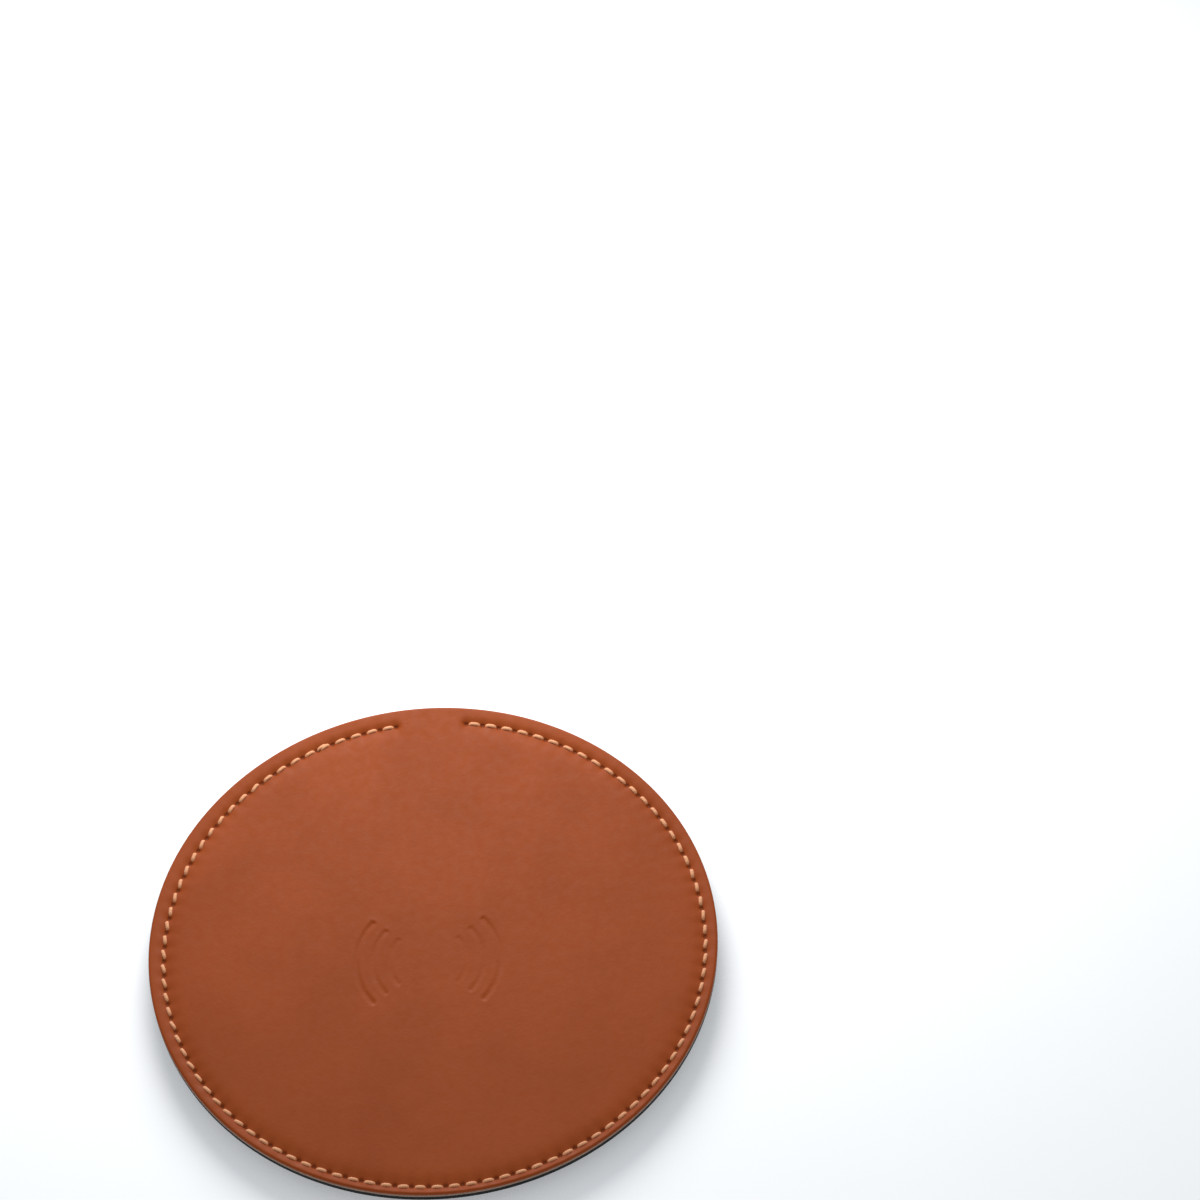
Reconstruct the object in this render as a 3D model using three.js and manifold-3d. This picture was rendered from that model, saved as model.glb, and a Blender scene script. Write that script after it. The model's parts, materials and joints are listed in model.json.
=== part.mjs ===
// A round wireless charging pad: a stitched leather cover around a flat charger with a USB-C port.
// Millimetres, +Z up. The origin is the middle of the pad on the surface it rests on; the port faces +Y.
import * as THREE from "three";
import { mergeVertices } from "three/addons/utils/BufferGeometryUtils.js";
import Module from "manifold-3d";

const wasm = await Module();
wasm.setup();

// ---- Driving dimensions -------------------------------------------------------------------------

const PAD_RADIUS = 60;
const PAD_HEIGHT = 6.5;
const LARGE_SEGMENTS = 72;
const COIL_SEGMENTS = 40;
const SMALL_SEGMENTS = 20;
const SHEET_GAP = 0.05; // between layers that lie on each other
const FITTING_GAP = 0.3; // between pieces that fit into one another
const PORT_ANGLE = 90; // degrees from +X, anticlockwise seen from above

// Leather top, with the groove that the seam pulls into it and the pressed wave symbol.
const LEATHER_THICKNESS = 1.4;
const LEATHER_BOTTOM = PAD_HEIGHT - LEATHER_THICKNESS;
const LEATHER_EDGE_ROUNDING = 0.6;
const SYMBOL_CENTRE = [-0.9, -3.4];
const SYMBOL_RADII = [8.2, 11.7, 15.2];
const SYMBOL_HALF_ANGLE = 40;
const SYMBOL_GROOVE_WIDTH = 1.2;
const SYMBOL_GROOVE_DEPTH = 0.2;

// Seam: a lockstitch in a ring that stays open around the port.
const SEAM_RADIUS = 57.15;
const SEAM_CENTRE = [0.3, -1]; // the margin outside the seam is widest behind the port
const SEAM_OPENING = 15.6; // degrees between the ends of the thread
const SEAM_GROOVE_MARGIN = 0.5; // degrees of groove beyond each end of the thread
const THREAD_WIDTH = 0.7;
const THREAD_HEIGHT = 0.4;
const SEAM_GROOVE_WIDTH = 1.3;
const TOP_GROOVE_DEPTH = 0.5;
const BOTTOM_GROOVE_DEPTH = 0.3;

// Base cover: a dished non-slip sheet, sewn to the leather around its flange.
const BASE_THICKNESS = 0.8;
const BASE_BOTTOM = 0.5;
const BASE_FLANGE_RADIUS = 59.85;
const BASE_FLANGE_THICKNESS = 1.3;
const BASE_FLANGE_TOP = LEATHER_BOTTOM - SHEET_GAP;
const BASE_FLANGE_BOTTOM = BASE_FLANGE_TOP - BASE_FLANGE_THICKNESS;
const BASE_FLANGE_INNER = 55.2;
const BASE_FLAT_RADIUS = 51.8;
const FOOT_INNER_RADIUS = 40;
const FOOT_OUTER_RADIUS = 46;
const FOOT_SEAT_DEPTH = 0.25;

// Housing of the charger: a tray with a lid that drops onto a ledge in its wall.
const TRAY_BOTTOM = BASE_BOTTOM + BASE_THICKNESS + SHEET_GAP;
const TRAY_FLOOR = 0.55;
const TRAY_FLOOR_TOP = TRAY_BOTTOM + TRAY_FLOOR;
const TRAY_BOTTOM_RADIUS = 50.9;
const TRAY_TOP_RADIUS = 54.2;
const TRAY_INNER_RADIUS = 50;
const TRAY_LEDGE_Z = 3.95;
const TRAY_LEDGE_RADIUS = 52.9;
const LID_BOTTOM = TRAY_LEDGE_Z + SHEET_GAP;
const LID_THICKNESS = 0.6;
const LID_TOP = LID_BOTTOM + LID_THICKNESS;
const LID_RADIUS = TRAY_LEDGE_RADIUS - FITTING_GAP;
const FOAM_BOTTOM = LID_TOP + SHEET_GAP;
const FOAM_TOP = LEATHER_BOTTOM - SHEET_GAP;

// Port collar: the moulded sleeve that fills the opening of the seam.
const COLLAR_WIDTH = 12.6;
const COLLAR_BACK_Y = 51;
const COLLAR_FACE_Y = 59.3;
const COLLAR_BOTTOM = 0.55;
const COLLAR_TOP = LEATHER_BOTTOM - SHEET_GAP;
const COLLAR_CORNER = 0.8;
const PORT_SLOT_WIDTH = 9.5;
const PORT_SLOT_HEIGHT = 3.4;
const PORT_Z = 2.8;

// USB-C receptacle, of the standard size.
const USB_WIDTH = 8.94;
const USB_HEIGHT = 3.16;
const USB_WALL = 0.3;
const USB_LENGTH = 7.35;
const USB_MOUTH_Y = COLLAR_FACE_Y - 0.2;
const USB_BACK_Y = USB_MOUTH_Y - USB_LENGTH;
const USB_BACK_DEPTH = 1.9;
const USB_TONGUE_WIDTH = 6.7;
const USB_TONGUE_THICKNESS = 0.7;
const USB_TONGUE_RECESS = 0.8;
const USB_TAIL_REACH = 3.4;
const USB_TAIL_THICKNESS = 0.25;

// Coil, ferrite and thermistor.
const FERRITE_RADIUS = 26;
const FERRITE_THICKNESS = 0.8;
const FERRITE_BOTTOM = TRAY_FLOOR_TOP + SHEET_GAP;
const FERRITE_TOP = FERRITE_BOTTOM + FERRITE_THICKNESS;
const FERRITE_SLOT_WIDTH = 5;
const FERRITE_SLOT_START = 6;
const SLOT_Z = FERRITE_BOTTOM + FERRITE_THICKNESS / 2;
const FILM_THICKNESS = 0.1;
const FILM_INNER_RADIUS = 10;
const FILM_OUTER_RADIUS = 25.5;
const FILM_GAP = 0.03;
const FILM_BOTTOM = FERRITE_TOP + FILM_GAP;
const FILM_TOP = FILM_BOTTOM + FILM_THICKNESS;
const COIL_INNER_RADIUS = 10.4;
const COIL_TURNS = 10;
const COIL_PITCH = 1.15;
const COIL_OUTER_RADIUS = COIL_INNER_RADIUS + COIL_TURNS * COIL_PITCH;
const COIL_BOTTOM = FILM_TOP + FILM_GAP;
const COIL_THICKNESS = 1;
const COIL_TOP = COIL_BOTTOM + COIL_THICKNESS;
const COIL_MIDDLE_Z = COIL_BOTTOM + COIL_THICKNESS / 2;
const COIL_VALLEY_DEPTH = 0.22;
const LEAD_RADIUS = 0.3;
const LEAD_X = 1.2; // the coil's lead runs at -LEAD_X, the thermistor's at +LEAD_X
const LEAD_LANDING_Y = 31.5;
const THERMISTOR_RADIUS = 1.3;
const THERMISTOR_HEIGHT = 1.05;
const THERMISTOR_LEAD_RADIUS = 0.22;

// Circuit board: a crescent between the coil and the port.
const BOARD_INNER_RADIUS = 28.5;
const BOARD_OUTER_RADIUS = 49.4;
const BOARD_HALF_ANGLE = 36;
const BOARD_BOTTOM = TRAY_FLOOR_TOP + 0.15;
const BOARD_THICKNESS = 0.6;
const BOARD_HOLE_RADIUS = 1.1;
const BOARD_TOP = BOARD_BOTTOM + BOARD_THICKNESS;
const SOLDER_GAP = 0.05;

// Countersunk screws, one in each quarter of the housing.
const SCREW_CIRCLE_RADIUS = 46;
const SCREW_ANGLES = [30, 150, 210, 330];
const SCREW_HEAD_RADIUS = 1.4;
const SCREW_HEAD_HEIGHT = 0.55;
const SCREW_SHANK_RADIUS = 0.6;
const SCREW_LENGTH = 2.3;
const SCREW_CLEARANCE = 0.15;
const SCREW_RECESS = 0.02; // the heads lie this far under the lid's face
const SCREW_EDGE = 0.1; // thickness of a head at its rim
const SCREW_POINT = 0.3;
const SCREW_DRIVE_RADIUS = 0.5;
const SCREW_DRIVE_DEPTH = 0.28;
const BOSS_RADIUS = 1.9;

// ---- Materials ----------------------------------------------------------------------------------

function material(color, roughness, metalness = 0) {
  return new THREE.MeshStandardMaterial({ color, roughness, metalness });
}

const tanLeather = material(0x9b4f2c, 0.55);
const tanThread = material(0xd9985f, 0.8);
const blackThread = material(0x1c1b1b, 0.8);
const blackSheet = material(0x1a1a1b, 0.85);
const siliconeRubber = material(0x242426, 0.7);
const greyFoam = material(0x55575a, 0.95);
const blackPlastic = material(0x161617, 0.5);
const screwSteel = material(0x9a9c9e, 0.35, 1);
const copperWire = material(0xb4622f, 0.35, 1);
const amberFilm = material(0xb9781c, 0.4);
const ferriteGrey = material(0x3a3c40, 0.6);
const boardGreen = material(0x14522f, 0.45);
const chipBlack = material(0x1b1c1d, 0.5);
const capacitorTan = material(0xa9825a, 0.55);
const plugSteel = material(0xb5b7b9, 0.3, 1);

// ---- Shape helpers ------------------------------------------------------------------------------

const radians = THREE.MathUtils.degToRad;

// What a corner of a bar stays below half its height, so that its two arcs don't meet.
const NEARLY_ROUND = 0.02;

// A solid turned around Z from [radius, z] points, listed anticlockwise in the radius-z plane.
function turned(points, segments = LARGE_SEGMENTS) {
  const profile = points.map(([radius, z]) => new THREE.Vector2(radius, z));
  return new THREE.LatheGeometry(profile, segments).rotateX(Math.PI / 2);
}

// A closed ring turned around Z: its last point joins its first.
function turnedRing(points, segments = LARGE_SEGMENTS) {
  return turned([...points, points[0]], segments);
}

function disc(radius, bottom, top, segments = LARGE_SEGMENTS) {
  return turned([[0, bottom], [radius, bottom], [radius, top], [0, top]], segments);
}

function ring(inner, outer, bottom, top, segments = LARGE_SEGMENTS) {
  return turnedRing([[inner, bottom], [outer, bottom], [outer, top], [inner, top]], segments);
}

// A box from its lowest to its highest corner.
function box(low, high) {
  const size = high.map((value, i) => value - low[i]);
  const middle = high.map((value, i) => (value + low[i]) / 2);
  return new THREE.BoxGeometry(...size).translate(...middle);
}

function rise(shape, bottom, top, curveSegments = 12) {
  const settings = { depth: top - bottom, bevelEnabled: false, curveSegments };
  return new THREE.ExtrudeGeometry(shape, settings).translate(0, 0, bottom);
}

// Part of a flat ring, between two angles in degrees.
function sector(inner, outer, startDegrees, endDegrees) {
  const start = radians(startDegrees);
  const end = radians(endDegrees);
  const shape = new THREE.Shape();
  shape.absarc(0, 0, outer, start, end, false);
  shape.absarc(0, 0, inner, end, start, true);
  shape.closePath();
  return shape;
}

function roundedRectangle(width, height, corner) {
  const x = width / 2;
  const y = height / 2;
  const shape = new THREE.Shape();
  shape.absarc(x - corner, y - corner, corner, 0, Math.PI / 2, false);
  shape.absarc(corner - x, y - corner, corner, Math.PI / 2, Math.PI, false);
  shape.absarc(corner - x, corner - y, corner, Math.PI, 1.5 * Math.PI, false);
  shape.absarc(x - corner, corner - y, corner, 1.5 * Math.PI, 2 * Math.PI, false);
  shape.closePath();
  return shape;
}

// A rounded bar that runs along Y, centred on x = 0 at the given height.
function barAlongY(width, height, corner, z, startY, endY) {
  const bar = rise(roundedRectangle(width, height, corner), 0, endY - startY, 4);
  return bar.rotateX(Math.PI / 2).translate(0, endY, z);
}

// A round wire along a smooth curve.
function wire(points, radius, steps) {
  const path = new THREE.CatmullRomCurve3(points.map((point) => new THREE.Vector3(...point)));
  const section = new THREE.Shape();
  section.absarc(0, 0, radius, 0, 2 * Math.PI, false);
  return new THREE.ExtrudeGeometry(section, { steps, extrudePath: path, curveSegments: 4 });
}

function toSolid(geometry) {
  const bare = geometry.clone();
  bare.deleteAttribute("normal");
  bare.deleteAttribute("uv");
  const merged = mergeVertices(bare, 1e-4);
  return new wasm.Manifold(
    new wasm.Mesh({
      numProp: 3,
      vertProperties: new Float32Array(merged.attributes.position.array),
      triVerts: new Uint32Array(merged.index.array),
    }),
  );
}

function toGeometry(solid) {
  const mesh = solid.getMesh();
  return new THREE.BufferGeometry()
    .setAttribute("position", new THREE.BufferAttribute(new Float32Array(mesh.vertProperties), 3))
    .setIndex(new THREE.BufferAttribute(new Uint32Array(mesh.triVerts), 1));
}

function cut(geometry, ...cutters) {
  return toGeometry(cutters.reduce((rest, cutter) => rest.subtract(toSolid(cutter)), toSolid(geometry)));
}

function join(geometry, ...others) {
  return toGeometry(others.reduce((whole, other) => whole.add(toSolid(other)), toSolid(geometry)));
}

const pad = new THREE.Group();

function place(name, geometry, finish, [x, y, z] = [0, 0, 0], turn = 0) {
  const mesh = new THREE.Mesh(geometry, finish);
  mesh.name = name;
  mesh.position.set(x, y, z);
  mesh.rotation.z = radians(turn);
  pad.add(mesh);
}

function onCircle(radius, degrees, z = 0) {
  return [radius * Math.cos(radians(degrees)), radius * Math.sin(radians(degrees)), z];
}

// A strip along the seam: a ring around SEAM_CENTRE that stays open around the port.
function seamSlice(width, openingDegrees, bottom, top) {
  const start = PORT_ANGLE + openingDegrees / 2;
  const end = PORT_ANGLE - openingDegrees / 2 + 360;
  const shape = sector(SEAM_RADIUS - width / 2, SEAM_RADIUS + width / 2, start, end);
  return rise(shape, bottom, top, LARGE_SEGMENTS / 2).translate(...SEAM_CENTRE, 0);
}

function seamGroove(bottom, top) {
  return seamSlice(SEAM_GROOVE_WIDTH, SEAM_OPENING - 2 * SEAM_GROOVE_MARGIN, bottom, top);
}

// The opening that the port collar needs in the pieces around it.
function collarOpening() {
  const halfWidth = COLLAR_WIDTH / 2 + FITTING_GAP;
  return box([-halfWidth, COLLAR_BACK_Y - FITTING_GAP, -1], [halfWidth, PAD_RADIUS + 1, PAD_HEIGHT + 1]);
}

// ---- Cover --------------------------------------------------------------------------------------

function symbolGrooves() {
  const halfWidth = SYMBOL_GROOVE_WIDTH / 2;
  const bottom = PAD_HEIGHT - SYMBOL_GROOVE_DEPTH;
  const grooves = [];
  for (const middle of [0, 180]) {
    for (const radius of SYMBOL_RADII) {
      const start = middle - SYMBOL_HALF_ANGLE;
      const end = middle + SYMBOL_HALF_ANGLE;
      const shape = sector(radius - halfWidth, radius + halfWidth, start, end);
      grooves.push(rise(shape, bottom, PAD_HEIGHT + 1, 6).translate(...SYMBOL_CENTRE, 0));
    }
  }
  return grooves;
}

function leatherTop() {
  const rounding = LEATHER_EDGE_ROUNDING;
  const edge = [0, 30, 60, 90].map((degrees) => [
    PAD_RADIUS - rounding + rounding * Math.cos(radians(degrees)),
    PAD_HEIGHT - rounding + rounding * Math.sin(radians(degrees)),
  ]);
  const sheet = turned([[0, LEATHER_BOTTOM], [PAD_RADIUS, LEATHER_BOTTOM], ...edge, [0, PAD_HEIGHT]]);
  const groove = seamGroove(PAD_HEIGHT - TOP_GROOVE_DEPTH, PAD_HEIGHT + 1);
  return cut(sheet, groove, ...symbolGrooves());
}

function baseCover() {
  const floorTop = BASE_BOTTOM + BASE_THICKNESS;
  const sheet = turned([
    [0, BASE_BOTTOM],
    [BASE_FLAT_RADIUS, BASE_BOTTOM],
    [BASE_FLANGE_INNER, BASE_FLANGE_BOTTOM],
    [BASE_FLANGE_RADIUS, BASE_FLANGE_BOTTOM],
    [BASE_FLANGE_RADIUS, BASE_FLANGE_TOP],
    [BASE_FLANGE_INNER - BASE_THICKNESS / 2, BASE_FLANGE_TOP],
    [BASE_FLAT_RADIUS - BASE_THICKNESS / 2, floorTop],
    [0, floorTop],
  ]);
  const groove = seamGroove(0, BASE_FLANGE_BOTTOM + BOTTOM_GROOVE_DEPTH);
  const seatInner = FOOT_INNER_RADIUS - FITTING_GAP;
  const seatOuter = FOOT_OUTER_RADIUS + FITTING_GAP;
  const footSeat = ring(seatInner, seatOuter, 0, BASE_BOTTOM + FOOT_SEAT_DEPTH);
  return cut(sheet, groove, footSeat, collarOpening());
}

// The thread of one side of the seam, its upper face at the given height.
function seamThread(top) {
  return seamSlice(THREAD_WIDTH, SEAM_OPENING, top - THREAD_HEIGHT, top);
}

function footRing() {
  return ring(FOOT_INNER_RADIUS, FOOT_OUTER_RADIUS, 0, BASE_BOTTOM + FOOT_SEAT_DEPTH - SHEET_GAP);
}

place("leather_top", leatherTop(), tanLeather);
place("seam_thread_top", seamThread(PAD_HEIGHT - SHEET_GAP), tanThread);
place("base_cover", baseCover(), blackSheet);
place("seam_thread_bottom", seamThread(BASE_FLANGE_BOTTOM + BOTTOM_GROOVE_DEPTH - SHEET_GAP), blackThread);
place("foot_ring", footRing(), siliconeRubber);
place("foam_disc", cut(disc(LID_RADIUS, FOAM_BOTTOM, FOAM_TOP), collarOpening()), greyFoam);

// ---- Housing ------------------------------------------------------------------------------------

function screwHole(radius, bottom, top, [x, y]) {
  return disc(radius, bottom, top, SMALL_SEGMENTS).translate(x, y, 0);
}

function housingTray() {
  const shell = turned([
    [0, TRAY_BOTTOM],
    [TRAY_BOTTOM_RADIUS, TRAY_BOTTOM],
    [TRAY_TOP_RADIUS, FOAM_TOP],
    [TRAY_LEDGE_RADIUS, FOAM_TOP],
    [TRAY_LEDGE_RADIUS, TRAY_LEDGE_Z],
    [TRAY_INNER_RADIUS, TRAY_LEDGE_Z],
    [TRAY_INNER_RADIUS, TRAY_FLOOR_TOP],
    [0, TRAY_FLOOR_TOP],
  ]);
  const screwPlaces = SCREW_ANGLES.map((angle) => onCircle(SCREW_CIRCLE_RADIUS, angle));
  const bosses = screwPlaces.map((at) => screwHole(BOSS_RADIUS, TRAY_BOTTOM, TRAY_LEDGE_Z, at));
  const pilotRadius = SCREW_SHANK_RADIUS + SCREW_CLEARANCE;
  const pilotBottom = LID_TOP - SCREW_LENGTH - SCREW_CLEARANCE;
  const pilots = screwPlaces.map((at) => screwHole(pilotRadius, pilotBottom, PAD_HEIGHT, at));
  const halfWindow = PORT_SLOT_WIDTH / 2;
  const tailWindow = box(
    [-halfWindow, TRAY_INNER_RADIUS - 2, TRAY_FLOOR_TOP],
    [halfWindow, COLLAR_BACK_Y, TRAY_LEDGE_Z - 0.6],
  );
  return cut(join(shell, ...bosses), ...pilots, tailWindow, collarOpening());
}

function housingLid() {
  const screwPlaces = SCREW_ANGLES.map((angle) => onCircle(SCREW_CIRCLE_RADIUS, angle));
  const sinks = screwPlaces.map(([x, y]) => {
    const shank = SCREW_SHANK_RADIUS + SCREW_CLEARANCE;
    const head = SCREW_HEAD_RADIUS + SCREW_CLEARANCE;
    const headBottom = LID_TOP - SCREW_HEAD_HEIGHT - SCREW_RECESS;
    const headEdge = LID_TOP - SCREW_EDGE - SCREW_RECESS;
    const narrow = [[0, 0], [shank, 0], [shank, headBottom]];
    const wide = [[head, headEdge], [head, PAD_HEIGHT], [0, PAD_HEIGHT]];
    return turned([...narrow, ...wide], SMALL_SEGMENTS).translate(x, y, 0);
  });
  return cut(disc(LID_RADIUS, LID_BOTTOM, LID_TOP), ...sinks, collarOpening());
}

function screw() {
  const tip = LID_TOP - SCREW_LENGTH;
  const face = LID_TOP - SCREW_RECESS;
  return turned(
    [
      [0, tip],
      [SCREW_SHANK_RADIUS, tip + SCREW_POINT],
      [SCREW_SHANK_RADIUS, LID_TOP - SCREW_HEAD_HEIGHT],
      [SCREW_HEAD_RADIUS, face - SCREW_EDGE],
      [SCREW_HEAD_RADIUS, face],
      [SCREW_DRIVE_RADIUS, face],
      [0, face - SCREW_DRIVE_DEPTH],
    ],
    SMALL_SEGMENTS,
  );
}

function portCollar() {
  const middle = (COLLAR_BOTTOM + COLLAR_TOP) / 2;
  const height = COLLAR_TOP - COLLAR_BOTTOM;
  const block = barAlongY(COLLAR_WIDTH, height, COLLAR_CORNER, middle, COLLAR_BACK_Y, COLLAR_FACE_Y);
  const corner = PORT_SLOT_HEIGHT / 2 - NEARLY_ROUND;
  const slotStart = COLLAR_BACK_Y - 1;
  const slotEnd = PAD_RADIUS + 1;
  return cut(block, barAlongY(PORT_SLOT_WIDTH, PORT_SLOT_HEIGHT, corner, PORT_Z, slotStart, slotEnd));
}

place("housing_tray", housingTray(), blackPlastic);
place("housing_lid", housingLid(), blackPlastic);
place("port_collar", portCollar(), blackPlastic);
SCREW_ANGLES.forEach((angle, i) => {
  place(`screw_${i + 1}`, screw(), screwSteel, onCircle(SCREW_CIRCLE_RADIUS, angle));
});

// ---- Port ---------------------------------------------------------------------------------------

function usbShell() {
  const corner = USB_HEIGHT / 2 - NEARLY_ROUND;
  const innerWidth = USB_WIDTH - 2 * USB_WALL;
  const innerHeight = USB_HEIGHT - 2 * USB_WALL;
  const outside = barAlongY(USB_WIDTH, USB_HEIGHT, corner, PORT_Z, USB_BACK_Y, USB_MOUTH_Y);
  const cavityStart = USB_BACK_Y - 1;
  const cavityEnd = PAD_RADIUS + 1;
  return cut(outside, barAlongY(innerWidth, innerHeight, corner - USB_WALL, PORT_Z, cavityStart, cavityEnd));
}

// The moulded insert: a block that closes the back, the tongue, and the solder tails over the board.
function usbTongue() {
  const blockWidth = USB_WIDTH - 2 * USB_WALL - 2 * SOLDER_GAP;
  const blockHeight = USB_HEIGHT - 2 * USB_WALL - 2 * SOLDER_GAP;
  const blockFront = USB_BACK_Y + USB_BACK_DEPTH;
  const corner = blockHeight / 2 - NEARLY_ROUND;
  const block = barAlongY(blockWidth, blockHeight, corner, PORT_Z, USB_BACK_Y, blockFront);
  const halfWidth = USB_TONGUE_WIDTH / 2;
  const halfThickness = USB_TONGUE_THICKNESS / 2;
  const overlap = 0.5; // how far the tongue and the tails reach into the block
  const tongue = box(
    [-halfWidth, blockFront - overlap, PORT_Z - halfThickness],
    [halfWidth, USB_MOUTH_Y - USB_TONGUE_RECESS, PORT_Z + halfThickness],
  );
  const tailBottom = BOARD_TOP + SOLDER_GAP;
  const tails = box(
    [-halfWidth, USB_BACK_Y - USB_TAIL_REACH, tailBottom],
    [halfWidth, USB_BACK_Y + overlap, tailBottom + USB_TAIL_THICKNESS],
  );
  return join(block, tongue, tails);
}

place("usb_c_shell", usbShell(), plugSteel);
place("usb_c_tongue", usbTongue(), chipBlack);

// ---- Coil ---------------------------------------------------------------------------------------

// One layer of wire, its turns showing as ridges on the upper face.
function chargingCoil() {
  const ridges = [[COIL_INNER_RADIUS, COIL_TOP - COIL_VALLEY_DEPTH]];
  for (let turnNumber = 0; turnNumber < COIL_TURNS; turnNumber++) {
    const start = COIL_INNER_RADIUS + turnNumber * COIL_PITCH;
    ridges.push([start + 0.3 * COIL_PITCH, COIL_TOP]);
    ridges.push([start + 0.7 * COIL_PITCH, COIL_TOP]);
    ridges.push([start + COIL_PITCH, COIL_TOP - COIL_VALLEY_DEPTH]);
  }
  const underside = [[COIL_INNER_RADIUS, COIL_BOTTOM], [COIL_OUTER_RADIUS, COIL_BOTTOM]];
  return turnedRing([...underside, ...ridges.reverse()], COIL_SEGMENTS);
}

function ferriteSheet() {
  const halfSlot = FERRITE_SLOT_WIDTH / 2;
  const slot = box([-halfSlot, FERRITE_SLOT_START, 0], [halfSlot, FERRITE_RADIUS + 1, PAD_HEIGHT]);
  return cut(disc(FERRITE_RADIUS, FERRITE_BOTTOM, FERRITE_TOP, COIL_SEGMENTS), slot);
}

// The way on from inside the coil: through the slot of the ferrite, then up onto the board.
function routeUnderCoil(x, radius) {
  const boardZ = BOARD_TOP + SOLDER_GAP + radius;
  const inSlot = [10.6, 12.5, 18, 24, 26.4].map((y) => [x, y, SLOT_Z]);
  return [[x, 9.7, SLOT_Z + 0.03], ...inSlot, [x, 28.4, boardZ], [x, LEAD_LANDING_Y, boardZ]];
}

function coilLeadInner() {
  const start = [
    [-LEAD_X, 7.6, COIL_MIDDLE_Z],
    [-LEAD_X, 8.2, COIL_MIDDLE_Z - 0.25],
    [-LEAD_X, 8.9, SLOT_Z + 0.35],
  ];
  return wire([...start, ...routeUnderCoil(-LEAD_X, LEAD_RADIUS)], LEAD_RADIUS, 28);
}

function thermistorLead() {
  const start = [
    [LEAD_X, 1.7, FERRITE_TOP + 0.4],
    [LEAD_X, 5, FERRITE_TOP + 0.35],
    [LEAD_X, 6.8, SLOT_Z + 0.4],
    [LEAD_X, 8, SLOT_Z + 0.1],
  ];
  const route = [...start, ...routeUnderCoil(LEAD_X, THERMISTOR_LEAD_RADIUS)];
  return wire(route, THERMISTOR_LEAD_RADIUS, 28);
}

// From the coil's outer turn straight over the edge of the ferrite to the board.
function coilLeadOuter() {
  const startX = 9;
  const startRadius = COIL_OUTER_RADIUS + FITTING_GAP + LEAD_RADIUS;
  const boardZ = BOARD_TOP + SOLDER_GAP + LEAD_RADIUS;
  const route = [
    [startX, Math.sqrt(startRadius ** 2 - startX ** 2), COIL_MIDDLE_Z],
    [8.6, 24, COIL_MIDDLE_Z],
    [8.2, 27, COIL_MIDDLE_Z - 0.05],
    [8, 29.4, boardZ + 0.02],
    [8, LEAD_LANDING_Y, boardZ],
  ];
  return wire(route, LEAD_RADIUS, 12);
}

function coilFilm() {
  return ring(FILM_INNER_RADIUS, FILM_OUTER_RADIUS, FILM_BOTTOM, FILM_TOP, COIL_SEGMENTS);
}

function coilThermistor() {
  const bottom = FERRITE_TOP + SOLDER_GAP;
  return disc(THERMISTOR_RADIUS, bottom, bottom + THERMISTOR_HEIGHT, SMALL_SEGMENTS);
}

place("ferrite_sheet", ferriteSheet(), ferriteGrey);
place("coil_film", coilFilm(), amberFilm);
place("charging_coil", chargingCoil(), copperWire);
place("coil_lead_inner", coilLeadInner(), copperWire);
place("coil_lead_outer", coilLeadOuter(), copperWire);
place("coil_thermistor", coilThermistor(), chipBlack);
place("thermistor_lead", thermistorLead(), chipBlack);

// ---- Circuit board ------------------------------------------------------------------------------

function circuitBoard() {
  const start = PORT_ANGLE - BOARD_HALF_ANGLE;
  const end = PORT_ANGLE + BOARD_HALF_ANGLE;
  const outline = sector(BOARD_INNER_RADIUS, BOARD_OUTER_RADIUS, start, end);
  const holes = [start + 4, end - 4].map((angle) => {
    return screwHole(BOARD_HOLE_RADIUS, 0, PAD_HEIGHT, onCircle(SCREW_CIRCLE_RADIUS, angle));
  });
  return cut(rise(outline, BOARD_BOTTOM, BOARD_TOP, 24), ...holes);
}

// A component standing on the board: its middle in x and y, its size and its turn.
function component(name, [x, y], [width, depth, height], finish, turn = 0) {
  const body = new THREE.BoxGeometry(width, depth, height);
  place(name, body, finish, [x, y, BOARD_TOP + SOLDER_GAP + height / 2], turn);
}

place("circuit_board", circuitBoard(), boardGreen);
component("controller_chip", [0, 38.6], [7, 7, 0.85], chipBlack);
component("crystal", [-6.4, 37], [3.2, 2.5, 0.75], plugSteel);
component("voltage_regulator", [-6.4, 43.6], [2.9, 1.6, 1.1], chipBlack, 90);
component("sense_resistor", [6.6, 37.6], [3.2, 1.6, 0.55], chipBlack, 90);
[-1, 1].forEach((side, i) => {
  component(`input_capacitor_${i + 1}`, [side * 2.6, 46.2], [3.2, 1.6, 1.15], capacitorTan, 90);
});
[-16, -11.5, 11.5, 16].forEach((x, i) => {
  component(`bridge_mosfet_${i + 1}`, [x, 39.5], [3.3, 3.3, 0.9], chipBlack);
});
[21, 28].forEach((angle, i) => {
  const [x, y] = onCircle(34, PORT_ANGLE - angle);
  component(`resonant_capacitor_${i + 1}`, [x, y], [3.2, 2.5, 1.2], capacitorTan, -angle);
  component(`resonant_capacitor_${i + 3}`, [-x, y], [3.2, 2.5, 1.2], capacitorTan, angle);
});

export default pad;
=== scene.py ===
"""A round wireless charging pad with a stitched leather top, built around its CAD frame.

Shapes are worked out in millimetres, +Z up, and turned into metres as each mesh is made.
"""
import json
import math
import random

import bpy
import numpy as np
from mathutils import Matrix, Vector


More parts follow.
